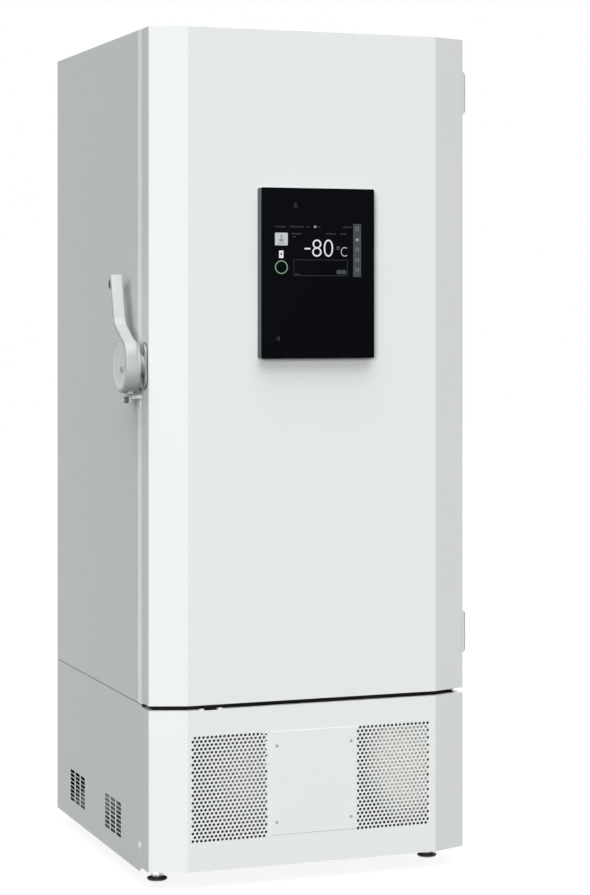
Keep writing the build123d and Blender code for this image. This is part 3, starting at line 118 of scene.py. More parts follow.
def white_surround():
    world = bpy.data.worlds.new("surround")
    world.use_nodes = True
    tree = world.node_tree
    light = tree.nodes["Background"]
    light.inputs["Color"].default_value = (1, 1, 1, 1)
    strength = tree.nodes.new("ShaderNodeMix")
    strength.inputs["A"].default_value = SURROUND_LIGHT
    strength.inputs["B"].default_value = 1
    tree.links.new(seen_directly(tree), strength.inputs["Factor"])
    tree.links.new(strength.outputs["Result"], light.inputs["Strength"])
    bpy.context.scene.world = world


def white_floor():
    mesh = bpy.data.meshes.new("floor")
    grid = bmesh.new()
    bmesh.ops.create_grid(grid, x_segments=1, y_segments=1, size=FLOOR_SIZE / 2)
    grid.to_mesh(mesh)
    grid.free()
    made = bpy.data.materials.new("floor")
    made.use_nodes = True
    tree = made.node_tree
    tree.nodes.remove(tree.nodes["Principled BSDF"])
    bounce = tree.nodes.new("ShaderNodeBsdfDiffuse")
    bounce.inputs["Color"].default_value = (FLOOR_BOUNCE, FLOOR_BOUNCE, FLOOR_BOUNCE, 1)
    shade = tree.nodes.new("ShaderNodeBsdfDiffuse")
    shade.inputs["Color"].default_value = (FLOOR_SHADE, FLOOR_SHADE, FLOOR_SHADE, 1)
    glow = tree.nodes.new("ShaderNodeEmission")
    glow.inputs["Strength"].default_value = FLOOR_GLOW
    both = tree.nodes.new("ShaderNodeAddShader")
    choice = tree.nodes.new("ShaderNodeMixShader")
    tree.links.new(glow.outputs[0], both.inputs[0])
    tree.links.new(shade.outputs[0], both.inputs[1])
    tree.links.new(seen_directly(tree), choice.inputs[0])
    tree.links.new(bounce.outputs[0], choice.inputs[1])
    tree.links.new(both.outputs[0], choice.inputs[2])
    tree.links.new(choice.outputs[0], tree.nodes["Material Output"].inputs["Surface"])
    mesh.materials.append(made)
    floor = bpy.data.objects.new("floor", mesh)
    bpy.context.scene.collection.objects.link(floor)


lamp("key", *KEY)
lamp("low_lamp", *LOW_LAMP)
lamp("side_lamp", *SIDE_LAMP)
lamp("rear_lamp", *REAR_LAMP)
white_surround()
white_floor()


# Levelling feet. A black moulded pad with a bright pressed rim under it, a zinc-plated stud with a rolled
# thread, and the hexagon that a spanner turns. Each screws up into a boss under the pan.
FOOT_RUBBER = (0.018, 0.018, 0.019, 1)
ZINC = (0.55, 0.56, 0.56, 1)
FOOT_RIM_PROFILE = ((0, 0), (0, 20.5), (0.6, 21.6), (2.2, 22.8), (2.9, 22.2), (2.9, 0))
FOOT_PROFILE = (
    (2.9, 0), (2.9, 22.4), (3.4, 23.7), (4.8, 24), (6.4, 23.2), (7.6, 20.5), (8.4, 17), (8.8, 15.5), (8.8, 0),
)
FOOT_NUT_RADIUS = 15
FOOT_NUT_BOTTOM = 9
FOOT_NUT_HEIGHT = 12
FOOT_NUT_RIM = 1.0
THREAD_PITCH = 1.75
THREAD_DEPTH = 0.7
THREAD_SEAT = 0.4  # the thread starts this far inside the hexagon
STUD_RADIUS = 6
SLOW_SCALE = 3.0  # of the slow changes of tone
STUD_SHORT = 0.3  # the stud ends this far below the top of the frame's piece


def new_group(name, inputs, outputs):
    """An empty shader node group with named sockets; the tree, its input node and its output node."""
    group = bpy.data.node_groups.new(name, "ShaderNodeTree")
    kinds = {"Vector": "NodeSocketVector", "Color": "NodeSocketColor"}
    for label, value in inputs.items():
        socket = group.interface.new_socket(
            name=label, in_out="INPUT", socket_type=kinds.get(label.split()[0], "NodeSocketFloat")
        )
        if value is not None:
            socket.default_value = value
    for label in outputs:
        group.interface.new_socket(
            name=label, in_out="OUTPUT", socket_type=kinds.get(label.split()[0], "NodeSocketFloat")
        )
    return group, group.nodes.new("NodeGroupInput"), group.nodes.new("NodeGroupOutput")


def noise(group, source, vector, scale, detail=2.0):
    """A noise texture in a group, whose vector and scale come from sockets or plain values."""
    made = group.nodes.new("ShaderNodeTexNoise")
    made.inputs["Detail"].default_value = detail
    group.links.new(vector, made.inputs["Vector"])
    if isinstance(scale, str):
        group.links.new(source.outputs[scale], made.inputs["Scale"])
    else:
        made.inputs["Scale"].default_value = scale
    return made.outputs["Fac"]


def feed(group, socket, value):
    """Gives a socket a plain value or a link from another socket."""
    if isinstance(value, bpy.types.NodeSocket):
        group.links.new(value, socket)
    else:
        socket.default_value = value


def arithmetic(group, operation, first, second=0.0):
    made = group.nodes.new("ShaderNodeMath")
    made.operation = operation
    feed(group, made.inputs[0], first)
    feed(group, made.inputs[1], second)
    return made.outputs[0]


def blended(group, factor, first, second):
    """A colour between two colours, each a plain value or a socket."""
    made = group.nodes.new("ShaderNodeMix")
    made.data_type = "RGBA"
    for socket, value in (("Factor", factor), ("A", first), ("B", second)):
        feed(group, made.inputs[socket], value)
    return made.outputs["Result"]


def uneven_gloss(group, source, mask):
    """The group's roughness, which its spread swings as the mask goes from 0 to 1."""
    swing = arithmetic(group, "SUBTRACT", mask, 0.5)
    swing = arithmetic(group, "MULTIPLY", swing, source.outputs["Spread"])
    return arithmetic(group, "ADD", source.outputs["Roughness"], swing)


def moulded_grain():
    """Moulded, sprayed and cast surfaces: a fine relief, and slow changes of tone and gloss."""
    group, source, result = new_group(
        "moulded_grain",
        {
            "Vector": None,
            "Color": (0.8, 0.8, 0.8, 1),
            "Color deep": (0.7, 0.7, 0.7, 1),
            "Scale": 400.0,
            "Roughness": 0.5,
            "Spread": 0.1,
        },
        ("Color", "Roughness", "Height"),
    )
    vector = source.outputs["Vector"]
    fine = noise(group, source, vector, "Scale")
    slow = noise(group, source, vector, SLOW_SCALE, 3.0)
    tone = blended(group, slow, source.outputs["Color"], source.outputs["Color deep"])
    group.links.new(tone, result.inputs["Color"])
    group.links.new(uneven_gloss(group, source, fine), result.inputs["Roughness"])
    group.links.new(fine, result.inputs["Height"])
    return group


GRAIN = moulded_grain()


def finish(name, group, relief, metallic=0.0, shader_values=None, **inputs):
    """A material whose colour, gloss and relief come from a shared group; relief is in metres."""
    made = bpy.data.materials.new(name)
    made.use_nodes = True
    tree = made.node_tree
    shader = tree.nodes["Principled BSDF"]
    place = tree.nodes.new("ShaderNodeTexCoord")
    effect = tree.nodes.new("ShaderNodeGroup")
    effect.node_tree = group
    tree.links.new(place.outputs["Object"], effect.inputs["Vector"])
    for label, value in inputs.items():
        effect.inputs[label.replace("_", " ")].default_value = value
    tree.links.new(effect.outputs["Color"], shader.inputs["Base Color"])
    tree.links.new(effect.outputs["Roughness"], shader.inputs["Roughness"])
    bump = tree.nodes.new("ShaderNodeBump")
    bump.inputs["Distance"].default_value = relief
    tree.links.new(effect.outputs["Height"], bump.inputs["Height"])
    tree.links.new(bump.outputs["Normal"], shader.inputs["Normal"])
    shader.inputs["Metallic"].default_value = metallic
    for label, value in (shader_values or {}).items():
        shader.inputs[label].default_value = value
    return made


def dress(material, *names):
    """Gives the named frame pieces a material."""
    for name in names:
        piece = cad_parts[name]
        piece.data.materials.clear()
        piece.data.materials.append(material)


def add_turned(shape, profile, origin, axis, segments=48):
    """A turned form: profile holds (distance along the axis, radius) pairs in millimetres."""
    turn = Vector((0, 0, 1)).rotation_difference(Vector(axis)).to_matrix().to_4x4()
    place = Matrix.Translation(origin) @ turn
    before = set(shape.verts)
    line = [shape.verts.new(place @ Vector((radius * MM, 0, along * MM))) for along, radius in profile]
    edges = [shape.edges.new(pair) for pair in zip(line, line[1:])]
    bmesh.ops.spin(
        shape,
        geom=line + edges,
        cent=origin,
        axis=axis,
        angle=math.tau,
        steps=segments,
        use_merge=True,
    )
    tidy(shape, before)


def tidy(shape, before=frozenset()):
    """Merges doubles among the vertices that came since before, and turns their faces outwards."""
    fresh = [vert for vert in shape.verts if vert not in before]
    bmesh.ops.remove_doubles(shape, verts=fresh, dist=1e-6)
    fresh = {vert for vert in shape.verts if vert not in before}
    faces = [face for face in shape.faces if face.verts[0] in fresh]
    bmesh.ops.recalc_face_normals(shape, faces=faces)


def bevel(shape, edges, width, segments):
    bmesh.ops.bevel(
        shape, geom=list(edges), offset=width, segments=segments, profile=0.5, affect="EDGES", material=-1
    )


def add_piece(name, shape, body, material, slot, *replaced, crease=35):
    """Turns a bmesh into a piece on a body, smooth but for edges sharper than crease, in degrees."""
    for face in shape.faces:
        face.smooth = True
    for edge in shape.edges:
        edge.smooth = len(edge.link_faces) != 2 or edge.calc_face_angle() < math.radians(crease)
    mesh = bpy.data.meshes.new(name)
    shape.to_mesh(mesh)
    shape.free()
    mesh.materials.append(material)
    piece = bpy.data.objects.new(name, mesh)
    bpy.context.scene.collection.objects.link(piece)
    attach(piece, body)
    if replaced:
        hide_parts(*replaced)
    return piece


rubber = finish(
    "black_rubber",
    GRAIN,
    0.00008,
    Color=FOOT_RUBBER,
    Color_deep=(0.03, 0.03, 0.031, 1),
    Scale=900.0,
    Roughness=0.62,
)
zinc = finish(
    "zinc_plate",
    GRAIN,
    0.00002,
    metallic=1.0,
    Color=ZINC,
    Color_deep=(0.46, 0.47, 0.48, 1),
    Scale=260.0,
    Roughness=0.34,
    Spread=0.2,
)


def levelling_foot(side):
    low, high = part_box(f"levelling_foot_{side}")
    centre = (low + high) / 2
    axis = (0, 0, 1)
    pad = bmesh.new()
    add_turned(pad, FOOT_PROFILE, (centre.x, centre.y, 0), axis, 64)
    pad_piece = add_piece(f"foot_pad_{side}", pad, f"foot_{side}", rubber, "dark_rubber")
    stud = bmesh.new()
    add_turned(stud, FOOT_RIM_PROFILE, (centre.x, centre.y, 0), axis, 64)
    middle = (FOOT_NUT_BOTTOM + FOOT_NUT_HEIGHT / 2) * MM
    nut = bmesh.ops.create_cone(
        stud,
        cap_ends=True,
        segments=6,
        radius1=FOOT_NUT_RADIUS * MM,
        radius2=FOOT_NUT_RADIUS * MM,
        depth=FOOT_NUT_HEIGHT * MM,
        matrix=Matrix.Translation((centre.x, centre.y, middle)),
    )
    edges = {edge for vert in nut["verts"] for edge in vert.link_edges}
    rims = [edge for edge in edges if len({vert.co.z > middle for vert in edge.verts}) == 1]
    bevel(stud, rims, FOOT_NUT_RIM * MM, 2)
    thread_start = FOOT_NUT_BOTTOM + FOOT_NUT_HEIGHT
    top = high.z / MM - STUD_SHORT
    turns = int((high.z / MM - thread_start) / THREAD_PITCH) - 1
    profile = [(thread_start - THREAD_SEAT, 0), (thread_start - THREAD_SEAT, STUD_RADIUS)]
    for n in range(turns):
        start = thread_start + n * THREAD_PITCH
        profile += [(start, STUD_RADIUS), (start + THREAD_PITCH / 2, STUD_RADIUS - THREAD_DEPTH)]
    profile += [(top, STUD_RADIUS - THREAD_DEPTH), (top, 0)]
    add_turned(stud, profile, (centre.x, centre.y, 0), axis, 24)
    add_piece(f"foot_stud_{side}", stud, f"foot_{side}", zinc, "zinc", f"levelling_foot_{side}")
    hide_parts(f"levelling_foot_{side}")


for side in ("left", "right"):
    levelling_foot(side)


# Casters. A pressed zinc-plated fork that swivels on its spigot, and a wheel with a grey non-marking
# tyre bonded on a pale plastic hub; the axle between the fork's legs runs through the hub.
TYRE = (0.11, 0.11, 0.115, 1)
HUB = (0.60, 0.61, 0.60, 1)
TYRE_PROFILE = (
    (-9.6, 18), (-9.8, 20), (-9.2, 22.6), (-7.2, 24.2), (-3, 24.95), (0, 25), (3, 24.95), (7.2, 24.2),
    (9.2, 22.6), (9.8, 20), (9.6, 18), (-9.6, 18),
)
WHEEL_HUB_PROFILE = (
    (-9.9, 4.1), (-9.9, 8), (-9, 9), (-6, 10.5), (-6, 15.5), (-8.8, 17), (-9, 18), (9, 18), (8.8, 17),
    (6, 15.5), (6, 10.5), (9, 9), (9.9, 8), (9.9, 4.1), (-9.9, 4.1),
)

tyre_rubber = finish(
    "grey_tyre", GRAIN, 0.00006, Color=TYRE, Color_deep=(0.16, 0.155, 0.15, 1), Scale=700.0, Roughness=0.7
)
hub_plastic = finish(
    "hub_plastic", GRAIN, 0.00003, Color=HUB, Color_deep=(0.52, 0.53, 0.53, 1), Scale=500.0, Roughness=0.42
)


def caster_wheel(place):
    node = f"caster_wheel_{place}"
    low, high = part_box(node)
    centre = (low + high) / 2
    tyre = bmesh.new()
    add_turned(tyre, TYRE_PROFILE, centre, (1, 0, 0), 64)
    tyre_piece = add_piece(f"tyre_{place}", tyre, f"wheel_{place}", tyre_rubber, "grey_rubber")
    hub = bmesh.new()
    add_turned(hub, WHEEL_HUB_PROFILE, centre, (1, 0, 0), 48)
    add_piece(f"wheel_hub_{place}", hub, f"wheel_{place}", hub_plastic, "white_plastic", node)
    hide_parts(node)


for place in ("front_left", "front_right", "rear_left", "rear_right"):
    caster_wheel(place)
    dress(zinc, f"caster_fork_{place}")


# Base. A folded steel pan with welded bosses and a frame of square tube that carries the cabinet, both in
# a matt black powder coat with a coarse grain.
BASE_BLACK = (0.014, 0.014, 0.015, 1)

base_coat = finish(
    "base_coat", GRAIN, 0.00008, Color=BASE_BLACK, Color_deep=(0.02, 0.02, 0.021, 1), Scale=300.0
)
dress(base_coat, "base_pan", "base_frame")


# Condensers and filters. Aluminium fins on copper tube, behind two washable filters of black knitted mesh
# that show through the perforated panel. Both have gathered pale dust, the right one more of it.
FIN = (0.60, 0.61, 0.62, 1)
FILTER_THREAD = (0.030, 0.030, 0.027, 1)
FILTER_HOLE = (0.008, 0.008, 0.007, 1)
FILTER_DUST = (0.86, 0.85, 0.74, 1)
DUST_REACH = (0.120, 0.2, 0.165)  # metres
DUST_SPOTS = (((0.272, -0.42, 0.270), 2.4), ((-0.135, -0.42, 0.250), 0.55))  # centres and strengths
DUST_MOST = 0.35  # in the holes of the knit
THREAD_GLOSS = 0.1  # what the threads add to the roughness of the holes
HOLE_ROUGHNESS = 0.75


def knitted_mesh():
    """A square knit of dark threads with dust settled on it round two spots, thinning outwards."""
    group, source, result = new_group(
        "knitted_mesh",
        {
            "Vector": None,
            "Color": FILTER_THREAD,
            "Color deep": FILTER_HOLE,
            "Color dust": FILTER_DUST,
            "Scale": 320.0,
        },
        ("Color", "Roughness", "Height"),
    )
    threads = []
    for direction in ("X", "Z"):
        wave = group.nodes.new("ShaderNodeTexWave")
        wave.bands_direction = direction
        wave.wave_profile = "SIN"
        group.links.new(source.outputs["Vector"], wave.inputs["Vector"])
        group.links.new(source.outputs["Scale"], wave.inputs["Scale"])
        threads.append(wave.outputs["Fac"])
    weave = arithmetic(group, "MAXIMUM", *threads)
    settled = 0.0
    for centre, strength in DUST_SPOTS:
        centred = group.nodes.new("ShaderNodeMapping")
        centred.vector_type = "TEXTURE"
        centred.inputs["Location"].default_value = centre
        centred.inputs["Scale"].default_value = DUST_REACH
        group.links.new(source.outputs["Vector"], centred.inputs["Vector"])
        spot = group.nodes.new("ShaderNodeTexGradient")
        spot.gradient_type = "SPHERICAL"
        group.links.new(centred.outputs["Vector"], spot.inputs["Vector"])
        dust = arithmetic(group, "MULTIPLY", spot.outputs["Fac"], strength)
        settled = arithmetic(group, "ADD", settled, dust)
    settled = arithmetic(group, "MINIMUM", settled, arithmetic(group, "ADD", weave, DUST_MOST))
    knit = blended(group, weave, source.outputs["Color deep"], source.outputs["Color"])
    group.links.new(blended(group, settled, knit, source.outputs["Color dust"]), result.inputs["Color"])
    matt = arithmetic(group, "ADD", arithmetic(group, "MULTIPLY", weave, THREAD_GLOSS), HOLE_ROUGHNESS)
    group.links.new(matt, result.inputs["Roughness"])
    group.links.new(weave, result.inputs["Height"])
    return group


fin_metal = finish(
    "aluminium_fins",
    GRAIN,
    0.00002,
    metallic=1.0,
    Color=FIN,
    Color_deep=(0.50, 0.51, 0.52, 1),
    Scale=500.0,
    Roughness=0.45,
)
filter_knit = finish("filter_knit", knitted_mesh(), 0.0002)
dress(fin_metal, "condensers")
dress(filter_knit, "condenser_filters")


# Fans and compressors. Black glass-filled nylon fans on motors in black shrouds; welded steel compressors
# in black enamel on rubber grommets; brazed copper lines with a spun copper drier in each circuit.
BLACK_ENAMEL = (0.012, 0.012, 0.013, 1)
BLACK_NYLON = (0.02, 0.02, 0.021, 1)
COPPER = (0.72, 0.34, 0.20, 1)

enamel = finish(
    "black_enamel",
    GRAIN,
    0.00004,
    Color=BLACK_ENAMEL,
    Color_deep=(0.02, 0.02, 0.022, 1),
    Scale=350.0,
    Roughness=0.32,
)
fan_nylon = finish(
    "fan_nylon", GRAIN, 0.00005, Color=BLACK_NYLON, Color_deep=(0.028, 0.028, 0.03, 1), Scale=650.0
)
copper = finish(
    "copper_tube",
    GRAIN,
    0.00002,
    metallic=1.0,
    Color=COPPER,
    Color_deep=(0.50, 0.22, 0.13, 1),
    Scale=180.0,
    Roughness=0.30,
    Spread=0.25,
)
dress(fan_nylon, "fan_left", "fan_right", "fan_mounts")
dress(enamel, "compressors")
dress(copper, "refrigerant_lines", "evaporator_coils")


# Machine compartment panels. Folded sheet steel with a white powder coat, which has the faint ripple of
# sprayed paint; the side sheets and the body have a cooler, darker copy of it, which is painted shade.
FRONT_WHITE = (0.700, 0.724, 0.716, 1)
FRONT_WHITE_DEEP = (0.686, 0.712, 0.704, 1)
# The sides' copy of the white paint, a little cooler and darker: painted shade.
SIDE_SHADE_WHITE = (0.680, 0.722, 0.728, 1)
SIDE_SHADE_WHITE_DEEP = (0.664, 0.710, 0.716, 1)
# Near-black painted shade on the inner faces of the side and rear sheets, so the inside of the compartment
# reads dark.
INNER_SHADE = (0.02, 0.02, 0.021, 1)
INNER_SHADE_DEPTH = 0.0006  # metres

front_paint = finish(
    "front_powder_coat",
    GRAIN,
    0.00003,
    shader_values={"Specular IOR Level": 0.25},
    Color=FRONT_WHITE,
    Color_deep=FRONT_WHITE_DEEP,
    Scale=420.0,
    Roughness=0.5,
    Spread=0.08,
)
side_shade_paint = finish(
    "side_shade_powder_coat",
    GRAIN,
    0.00003,
    shader_values={"Specular IOR Level": 0.25},
    Color=SIDE_SHADE_WHITE,
    Color_deep=SIDE_SHADE_WHITE_DEEP,
    Scale=420.0,
    Roughness=0.55,
    Spread=0.08,
)


def inner_shade_paint():
    """The side paint on the outside of a sheet, and near-black painted shade on its inner face."""
    low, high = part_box("cabinet_shell")
    made = side_shade_paint.copy()
    made.name = "inner_shade_powder_coat"
    tree = made.node_tree
    shader = tree.nodes["Principled BSDF"]
    source = tree.nodes.new("ShaderNodeTexCoord")
    apart = tree.nodes.new("ShaderNodeSeparateXYZ")
    tree.links.new(source.outputs["Object"], apart.inputs["Vector"])
    inside = arithmetic(tree, "LESS_THAN", apart.outputs["Y"], high.y - INNER_SHADE_DEPTH)
    across = arithmetic(tree, "ABSOLUTE", arithmetic(tree, "SUBTRACT", apart.outputs["X"], MIDDLE))
    within = arithmetic(tree, "LESS_THAN", across, high.x - MIDDLE - INNER_SHADE_DEPTH)
    inner_shade_mask = arithmetic(tree, "MULTIPLY", inside, within)
    painted = shader.inputs["Base Color"].links[0].from_socket
    tree.links.new(blended(tree, inner_shade_mask, painted, INNER_SHADE), shader.inputs["Base Color"])
    return made


pale_plastic = finish(
    "pale_plastic",
    GRAIN,
    0.00002,
    Color=(0.80, 0.82, 0.81, 1),
    Color_deep=(0.78, 0.80, 0.79, 1),
    Scale=650.0,
    Roughness=0.38,
)
dress(front_paint, "lower_front_panel", "centre_cover")
dress(side_shade_paint, "electrical_box")
# The inner faces of these sheets carry near-black painted shade.
dress(inner_shade_paint(), "side_panel_left", "side_panel_right", "rear_panel")
dress(pale_plastic, "side_plug")


# Cover screws. Four small pan-head screws at the corners of the cover plate, painted a dull grey, each
# with a shallow round recess in its head.
SCREW_RADIUS = 4
SCREW_HEAD_PROFILE = ((0, 3.9), (0.25, 3.8), (0.45, 3.3), (0.5, 2.2), (0.5, 1.1), (0.2, 0.9), (0.1, 0))


def cover_screws():
    low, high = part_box("cover_screws")
    cover_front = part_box("centre_cover")[0].y
    inset = SCREW_RADIUS * MM
    shape = bmesh.new()
    for x in (low.x + inset, high.x - inset):
        for z in (low.z + inset, high.z - inset):
            add_turned(shape, SCREW_HEAD_PROFILE, (x, cover_front, z), (0, -1, 0), 24)
    add_piece("cover_screws_heads", shape, "cabinet", screw_paint, "zinc", "cover_screws")


screw_paint = finish(
    "screw_heads",
    GRAIN,
    0.00001,
    Color=(0.36, 0.37, 0.37, 1),
    Color_deep=(0.32, 0.33, 0.33, 1),
    Scale=300.0,
    Roughness=0.5,
)
cover_screws()


# Rear. A nylon cable gland in the power inlet of the rear panel, and two turned rubber spacers that keep
# the cabinet off the wall.
SPACER_PROFILE = ((0, 0), (0, 15.2), (1, 16), (11, 16), (13.8, 14.6), (14.8, 12), (15, 9), (14, 5), (14, 0))
GLAND_PROFILE = (
    (0, 5), (0, 13.9), (5, 13.9), (5.6, 13), (6.4, 12.4), (10, 11.6), (11.6, 9.6), (12, 8), (12, 5), (0, 5),
)
GLAND_SLEEVE_PROFILE = ((-17.5, 5), (-17.5, 9.8), (0, 9.8), (0, 5), (-17.5, 5))


def rear_details():
    spacers = bmesh.new()
    low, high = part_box("rear_spacers")
    radius = (high.z - low.z) / 2
    for x in (low.x + radius, high.x - radius):
        add_turned(spacers, SPACER_PROFILE, (x, BACK, low.z + radius), (0, 1, 0))
    add_piece("wall_spacers", spacers, "cabinet", rubber, "dark_rubber", "rear_spacers")
    low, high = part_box("power_inlet")
    gland = bmesh.new()
    centre = (low + high) / 2
    for profile in (GLAND_PROFILE, GLAND_SLEEVE_PROFILE):
        add_turned(gland, profile, (centre.x, BACK, centre.z), (0, 1, 0))
    add_piece("cable_gland", gland, "cabinet", fan_nylon, "dark_rubber", "power_inlet")


rear_details()


# Cabinet. A welded steel shell round five slabs of foam with vacuum panels buried in them, closed at the
# front by a pale plastic frame that shows as a bright strip between the shell and the door.
frame_plastic = finish(
    "frame_plastic",
    GRAIN,
    0.00001,
    shader_values={"Specular IOR Level": 0.4},
    Color=(0.84, 0.885, 0.895, 1),
    Color_deep=(0.82, 0.865, 0.875, 1),
    Scale=300.0,
    Roughness=0.25,
)
foam = finish(
    "foam",
    GRAIN,
    0.0004,
    Color=(0.80, 0.72, 0.50, 1),
    Color_deep=(0.72, 0.62, 0.40, 1),
    Scale=300.0,
    Roughness=0.85,
)
foil = finish(
    "foil",
    GRAIN,
    0.0003,
    metallic=1.0,
    Color=(0.70, 0.71, 0.72, 1),
    Color_deep=(0.60, 0.61, 0.62, 1),
    Scale=60.0,
    Roughness=0.3,
)
# The shell takes the sides' paint, whose cooler, darker tone is painted shade.
dress(side_shade_paint, "cabinet_shell")
dress(frame_plastic, "front_frame")
dress(foam, "cabinet_insulation", "door_insulation")
dress(foil, "vacuum_panels")


# Chamber. A stainless liner with a fine brushed grain, an inner frame with a crossbar, slotted pilasters
# with clips, and three folded stainless shelves.
STAINLESS = (0.50, 0.51, 0.51, 1)
BRUSH_STRETCH = (12, 12, 900)  # how fine the scratches are along X, Y and Z


def brushed_grain():
    """Metal brushed one way: long thin scratches along X and Z, fine across."""
    group, source, result = new_group(
        "brushed_grain",
        {
            "Vector": None,
            "Color": STAINLESS,
            "Color deep": (0.43, 0.44, 0.44, 1),
            "Scale": 1.0,
            "Roughness": 0.42,
            "Spread": 0.16,
        },
        ("Color", "Roughness", "Height"),
    )
    stretch = group.nodes.new("ShaderNodeMapping")
    stretch.inputs["Scale"].default_value = BRUSH_STRETCH
    group.links.new(source.outputs["Vector"], stretch.inputs["Vector"])
    scratches = noise(group, source, stretch.outputs["Vector"], "Scale", 3.0)
    tone = blended(group, scratches, source.outputs["Color"], source.outputs["Color deep"])
    group.links.new(tone, result.inputs["Color"])
    group.links.new(uneven_gloss(group, source, scratches), result.inputs["Roughness"])
    group.links.new(scratches, result.inputs["Height"])
    return group


BRUSHED = brushed_grain()
stainless = finish("brushed_stainless", BRUSHED, 0.00002, metallic=1.0)
dress(stainless, "chamber_liner", "shelf_supports", "shelves")
dress(pale_plastic, "inner_frame")


# Inner doors. Two foam-filled white panels with a pressed raised field each, a soft grey gasket on the
# back, and a turn catch on the left.
FIELD_MARGIN = 60
FIELD_PROUD = 1.6
FIELD_CORNER = 14
FIELD_RIM = 1.4
CATCH_AIR = 2  # between a catch and the inner door


def add_block(shape, low, high, corner=0.0, axis="Y", rim=0.0, segments=4):
    """A block in metres with the edges along one axis rounded, and then the rim of its front face."""
    low, high = Vector(low), Vector(high)
    place = Matrix.Translation((low + high) / 2) @ Matrix.Diagonal((*(high - low), 1))
    before = set(shape.faces)
    bmesh.ops.create_cube(shape, size=1, matrix=place)
    index = "XYZ".index(axis)
    if corner:
        fresh = [face for face in shape.faces if face not in before]
        edges = {edge for face in fresh for edge in face.edges}
        along = [e for e in edges if abs((e.verts[0].co - e.verts[1].co).normalized()[index]) > 0.9]
        bevel(shape, along, corner, segments)
    if rim:
        fresh = [face for face in shape.faces if face not in before]
        front = min(fresh, key=lambda face: face.calc_center_median()[index])
        bevel(shape, front.edges, rim, 2)


soft_rubber = finish(
    "soft_grey_rubber",
    GRAIN,
    0.00003,
    Color=(0.30, 0.31, 0.32, 1),
    Color_deep=(0.26, 0.27, 0.28, 1),
    Scale=500.0,
    Roughness=0.55,
)


def inner_door(name):
    low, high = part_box(f"inner_door_{name}")
    gasket_low, gasket_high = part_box(f"inner_gasket_{name}")
    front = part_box(f"inner_catch_{name}")[1].y + CATCH_AIR * MM
    margin = FIELD_MARGIN * MM
    field = bmesh.new()
    add_block(
        field,
        (gasket_low.x + margin, front - FIELD_PROUD * MM, low.z + margin),
        (gasket_high.x - margin, front, high.z - margin),
        FIELD_CORNER * MM,
        rim=FIELD_RIM * MM,
    )
    add_piece(f"inner_door_field_{name}", field, f"inner_door_{name}", pale_plastic, "white_plastic")


for name in ("upper", "lower"):
    dress(pale_plastic, f"inner_door_{name}")
    dress(soft_rubber, f"inner_gasket_{name}")
    dress(zinc, f"inner_catch_{name}")
    inner_door(name)


# Outer door. A folded steel skin in white powder coat, foam, a vacuum-formed pale liner with a raised
# plug, and a bellows gasket with a magnetic strip that runs round the plug.
GASKET_WIDTH = 28
GASKET_PROFILE = (
    (0, 0), (GASKET_WIDTH, 0), (GASKET_WIDTH, 2), (20, 2.6), (24.5, 5), (20.5, 7.6), (26, 9.4), (27.4, 11),
    (27.4, 13), (26, 13.8), (8, 13.8), (6.6, 13), (6.6, 11), (8, 9.4), (10, 7.6), (6, 5), (9, 2.6), (0, 2),
)

dress(front_paint, "door_skin")
dress(pale_plastic, "door_liner")


def add_mitred_ring(shape, profile, inner_low, inner_high, start):
    """A profile swept round an upright rectangle with mitred corners; its points are (outwards, back) in
    millimetres from the rectangle's edge and from the plane y = start."""
    corners = [
        ((inner_low[0], inner_low[1]), (-1, -1)),
        ((inner_high[0], inner_low[1]), (1, -1)),
        ((inner_high[0], inner_high[1]), (1, 1)),
        ((inner_low[0], inner_high[1]), (-1, 1)),
    ]
    loops = []
    for (x, z), (across, up) in corners:
        verts = [
            shape.verts.new((x + across * out * MM, start + back * MM, z + up * out * MM))
            for out, back in profile
        ]
        loops.append([shape.edges.new(pair) for pair in zip(verts, verts[1:] + verts[:1])])
    for first, second in zip(loops, loops[1:] + loops[:1]):
        bmesh.ops.bridge_loops(shape, edges=first + second)
    tidy(shape)


def door_gasket():
    low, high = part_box("door_gasket")
    width = GASKET_WIDTH * MM
    shape = bmesh.new()
    add_mitred_ring(
        shape, GASKET_PROFILE, (low.x + width, low.z + width), (high.x - width, high.z - width), low.y
    )
    add_piece("bellows_gasket", shape, "outer_door", soft_rubber, "grey_rubber", "door_gasket", crease=50)


door_gasket()


# Hinges. Cast leaves on the door and brackets on the cabinet, all painted with the front, which turn on
# zinc-plated steel pins.
dress(front_paint, "hinge_leaves", "hinge_brackets")
dress(zinc, "hinge_pins")


# Latch. A die-cast lever in satin silver: a flat band that rises from a round hub, a dished cap with the
# key lock in it, a rubber bumper behind the tip, a plated escutcheon on a black gasket, and a strike with
# its roller. The edges of the casting are tumbled round.
SATIN = (0.50, 0.520, 0.518, 1)
DRUM_PROFILE = (
    (45.5, 0), (45.5, 14.1), (7.5, 14.1), (7.5, 26), (25, 26), (25, 57), (25.7, 59.6), (27.4, 61.3),
    (30, 62), (57, 62), (59.6, 61.3), (61.3, 59.6), (62, 57), (62, 55.6), (61.6, 55.2), (59.5, 55.2),
    (59.5, 0), (45.5, 0),
)
LATCH_OUTER = 62  # from the side of the door
BAND_WIDTH = 27
BAND_THICKNESS = 12
BAND_CORNER = 2.4
BAND_TIP = 1.8
BAND_ROUTE = ((-56, -5), (-56, 44), (44, 95), (76, 211))  # back and up from the hub
BAND_BENDS = (38, 45)
BEND_STEPS = 10
CLAW_DEPTH = (36, 45)  # from the side of the door
CLAW_RADII = (58, 68)
CLAW_ANGLES = (250, 310)
CLAW_CORNER = 1
CLAW_STEPS = 12
CAP_PROFILE = (
    (0, 0), (0, 55), (2.1, 55), (2.5, 54.4), (2.5, 52), (1.6, 47), (0.8, 38), (0.5, 20), (0.5, 0),
)
BUMPER_EASE = 2.0
LOCK_EASE = 0.4
ESCUTCHEON_HALF = (24, 55)
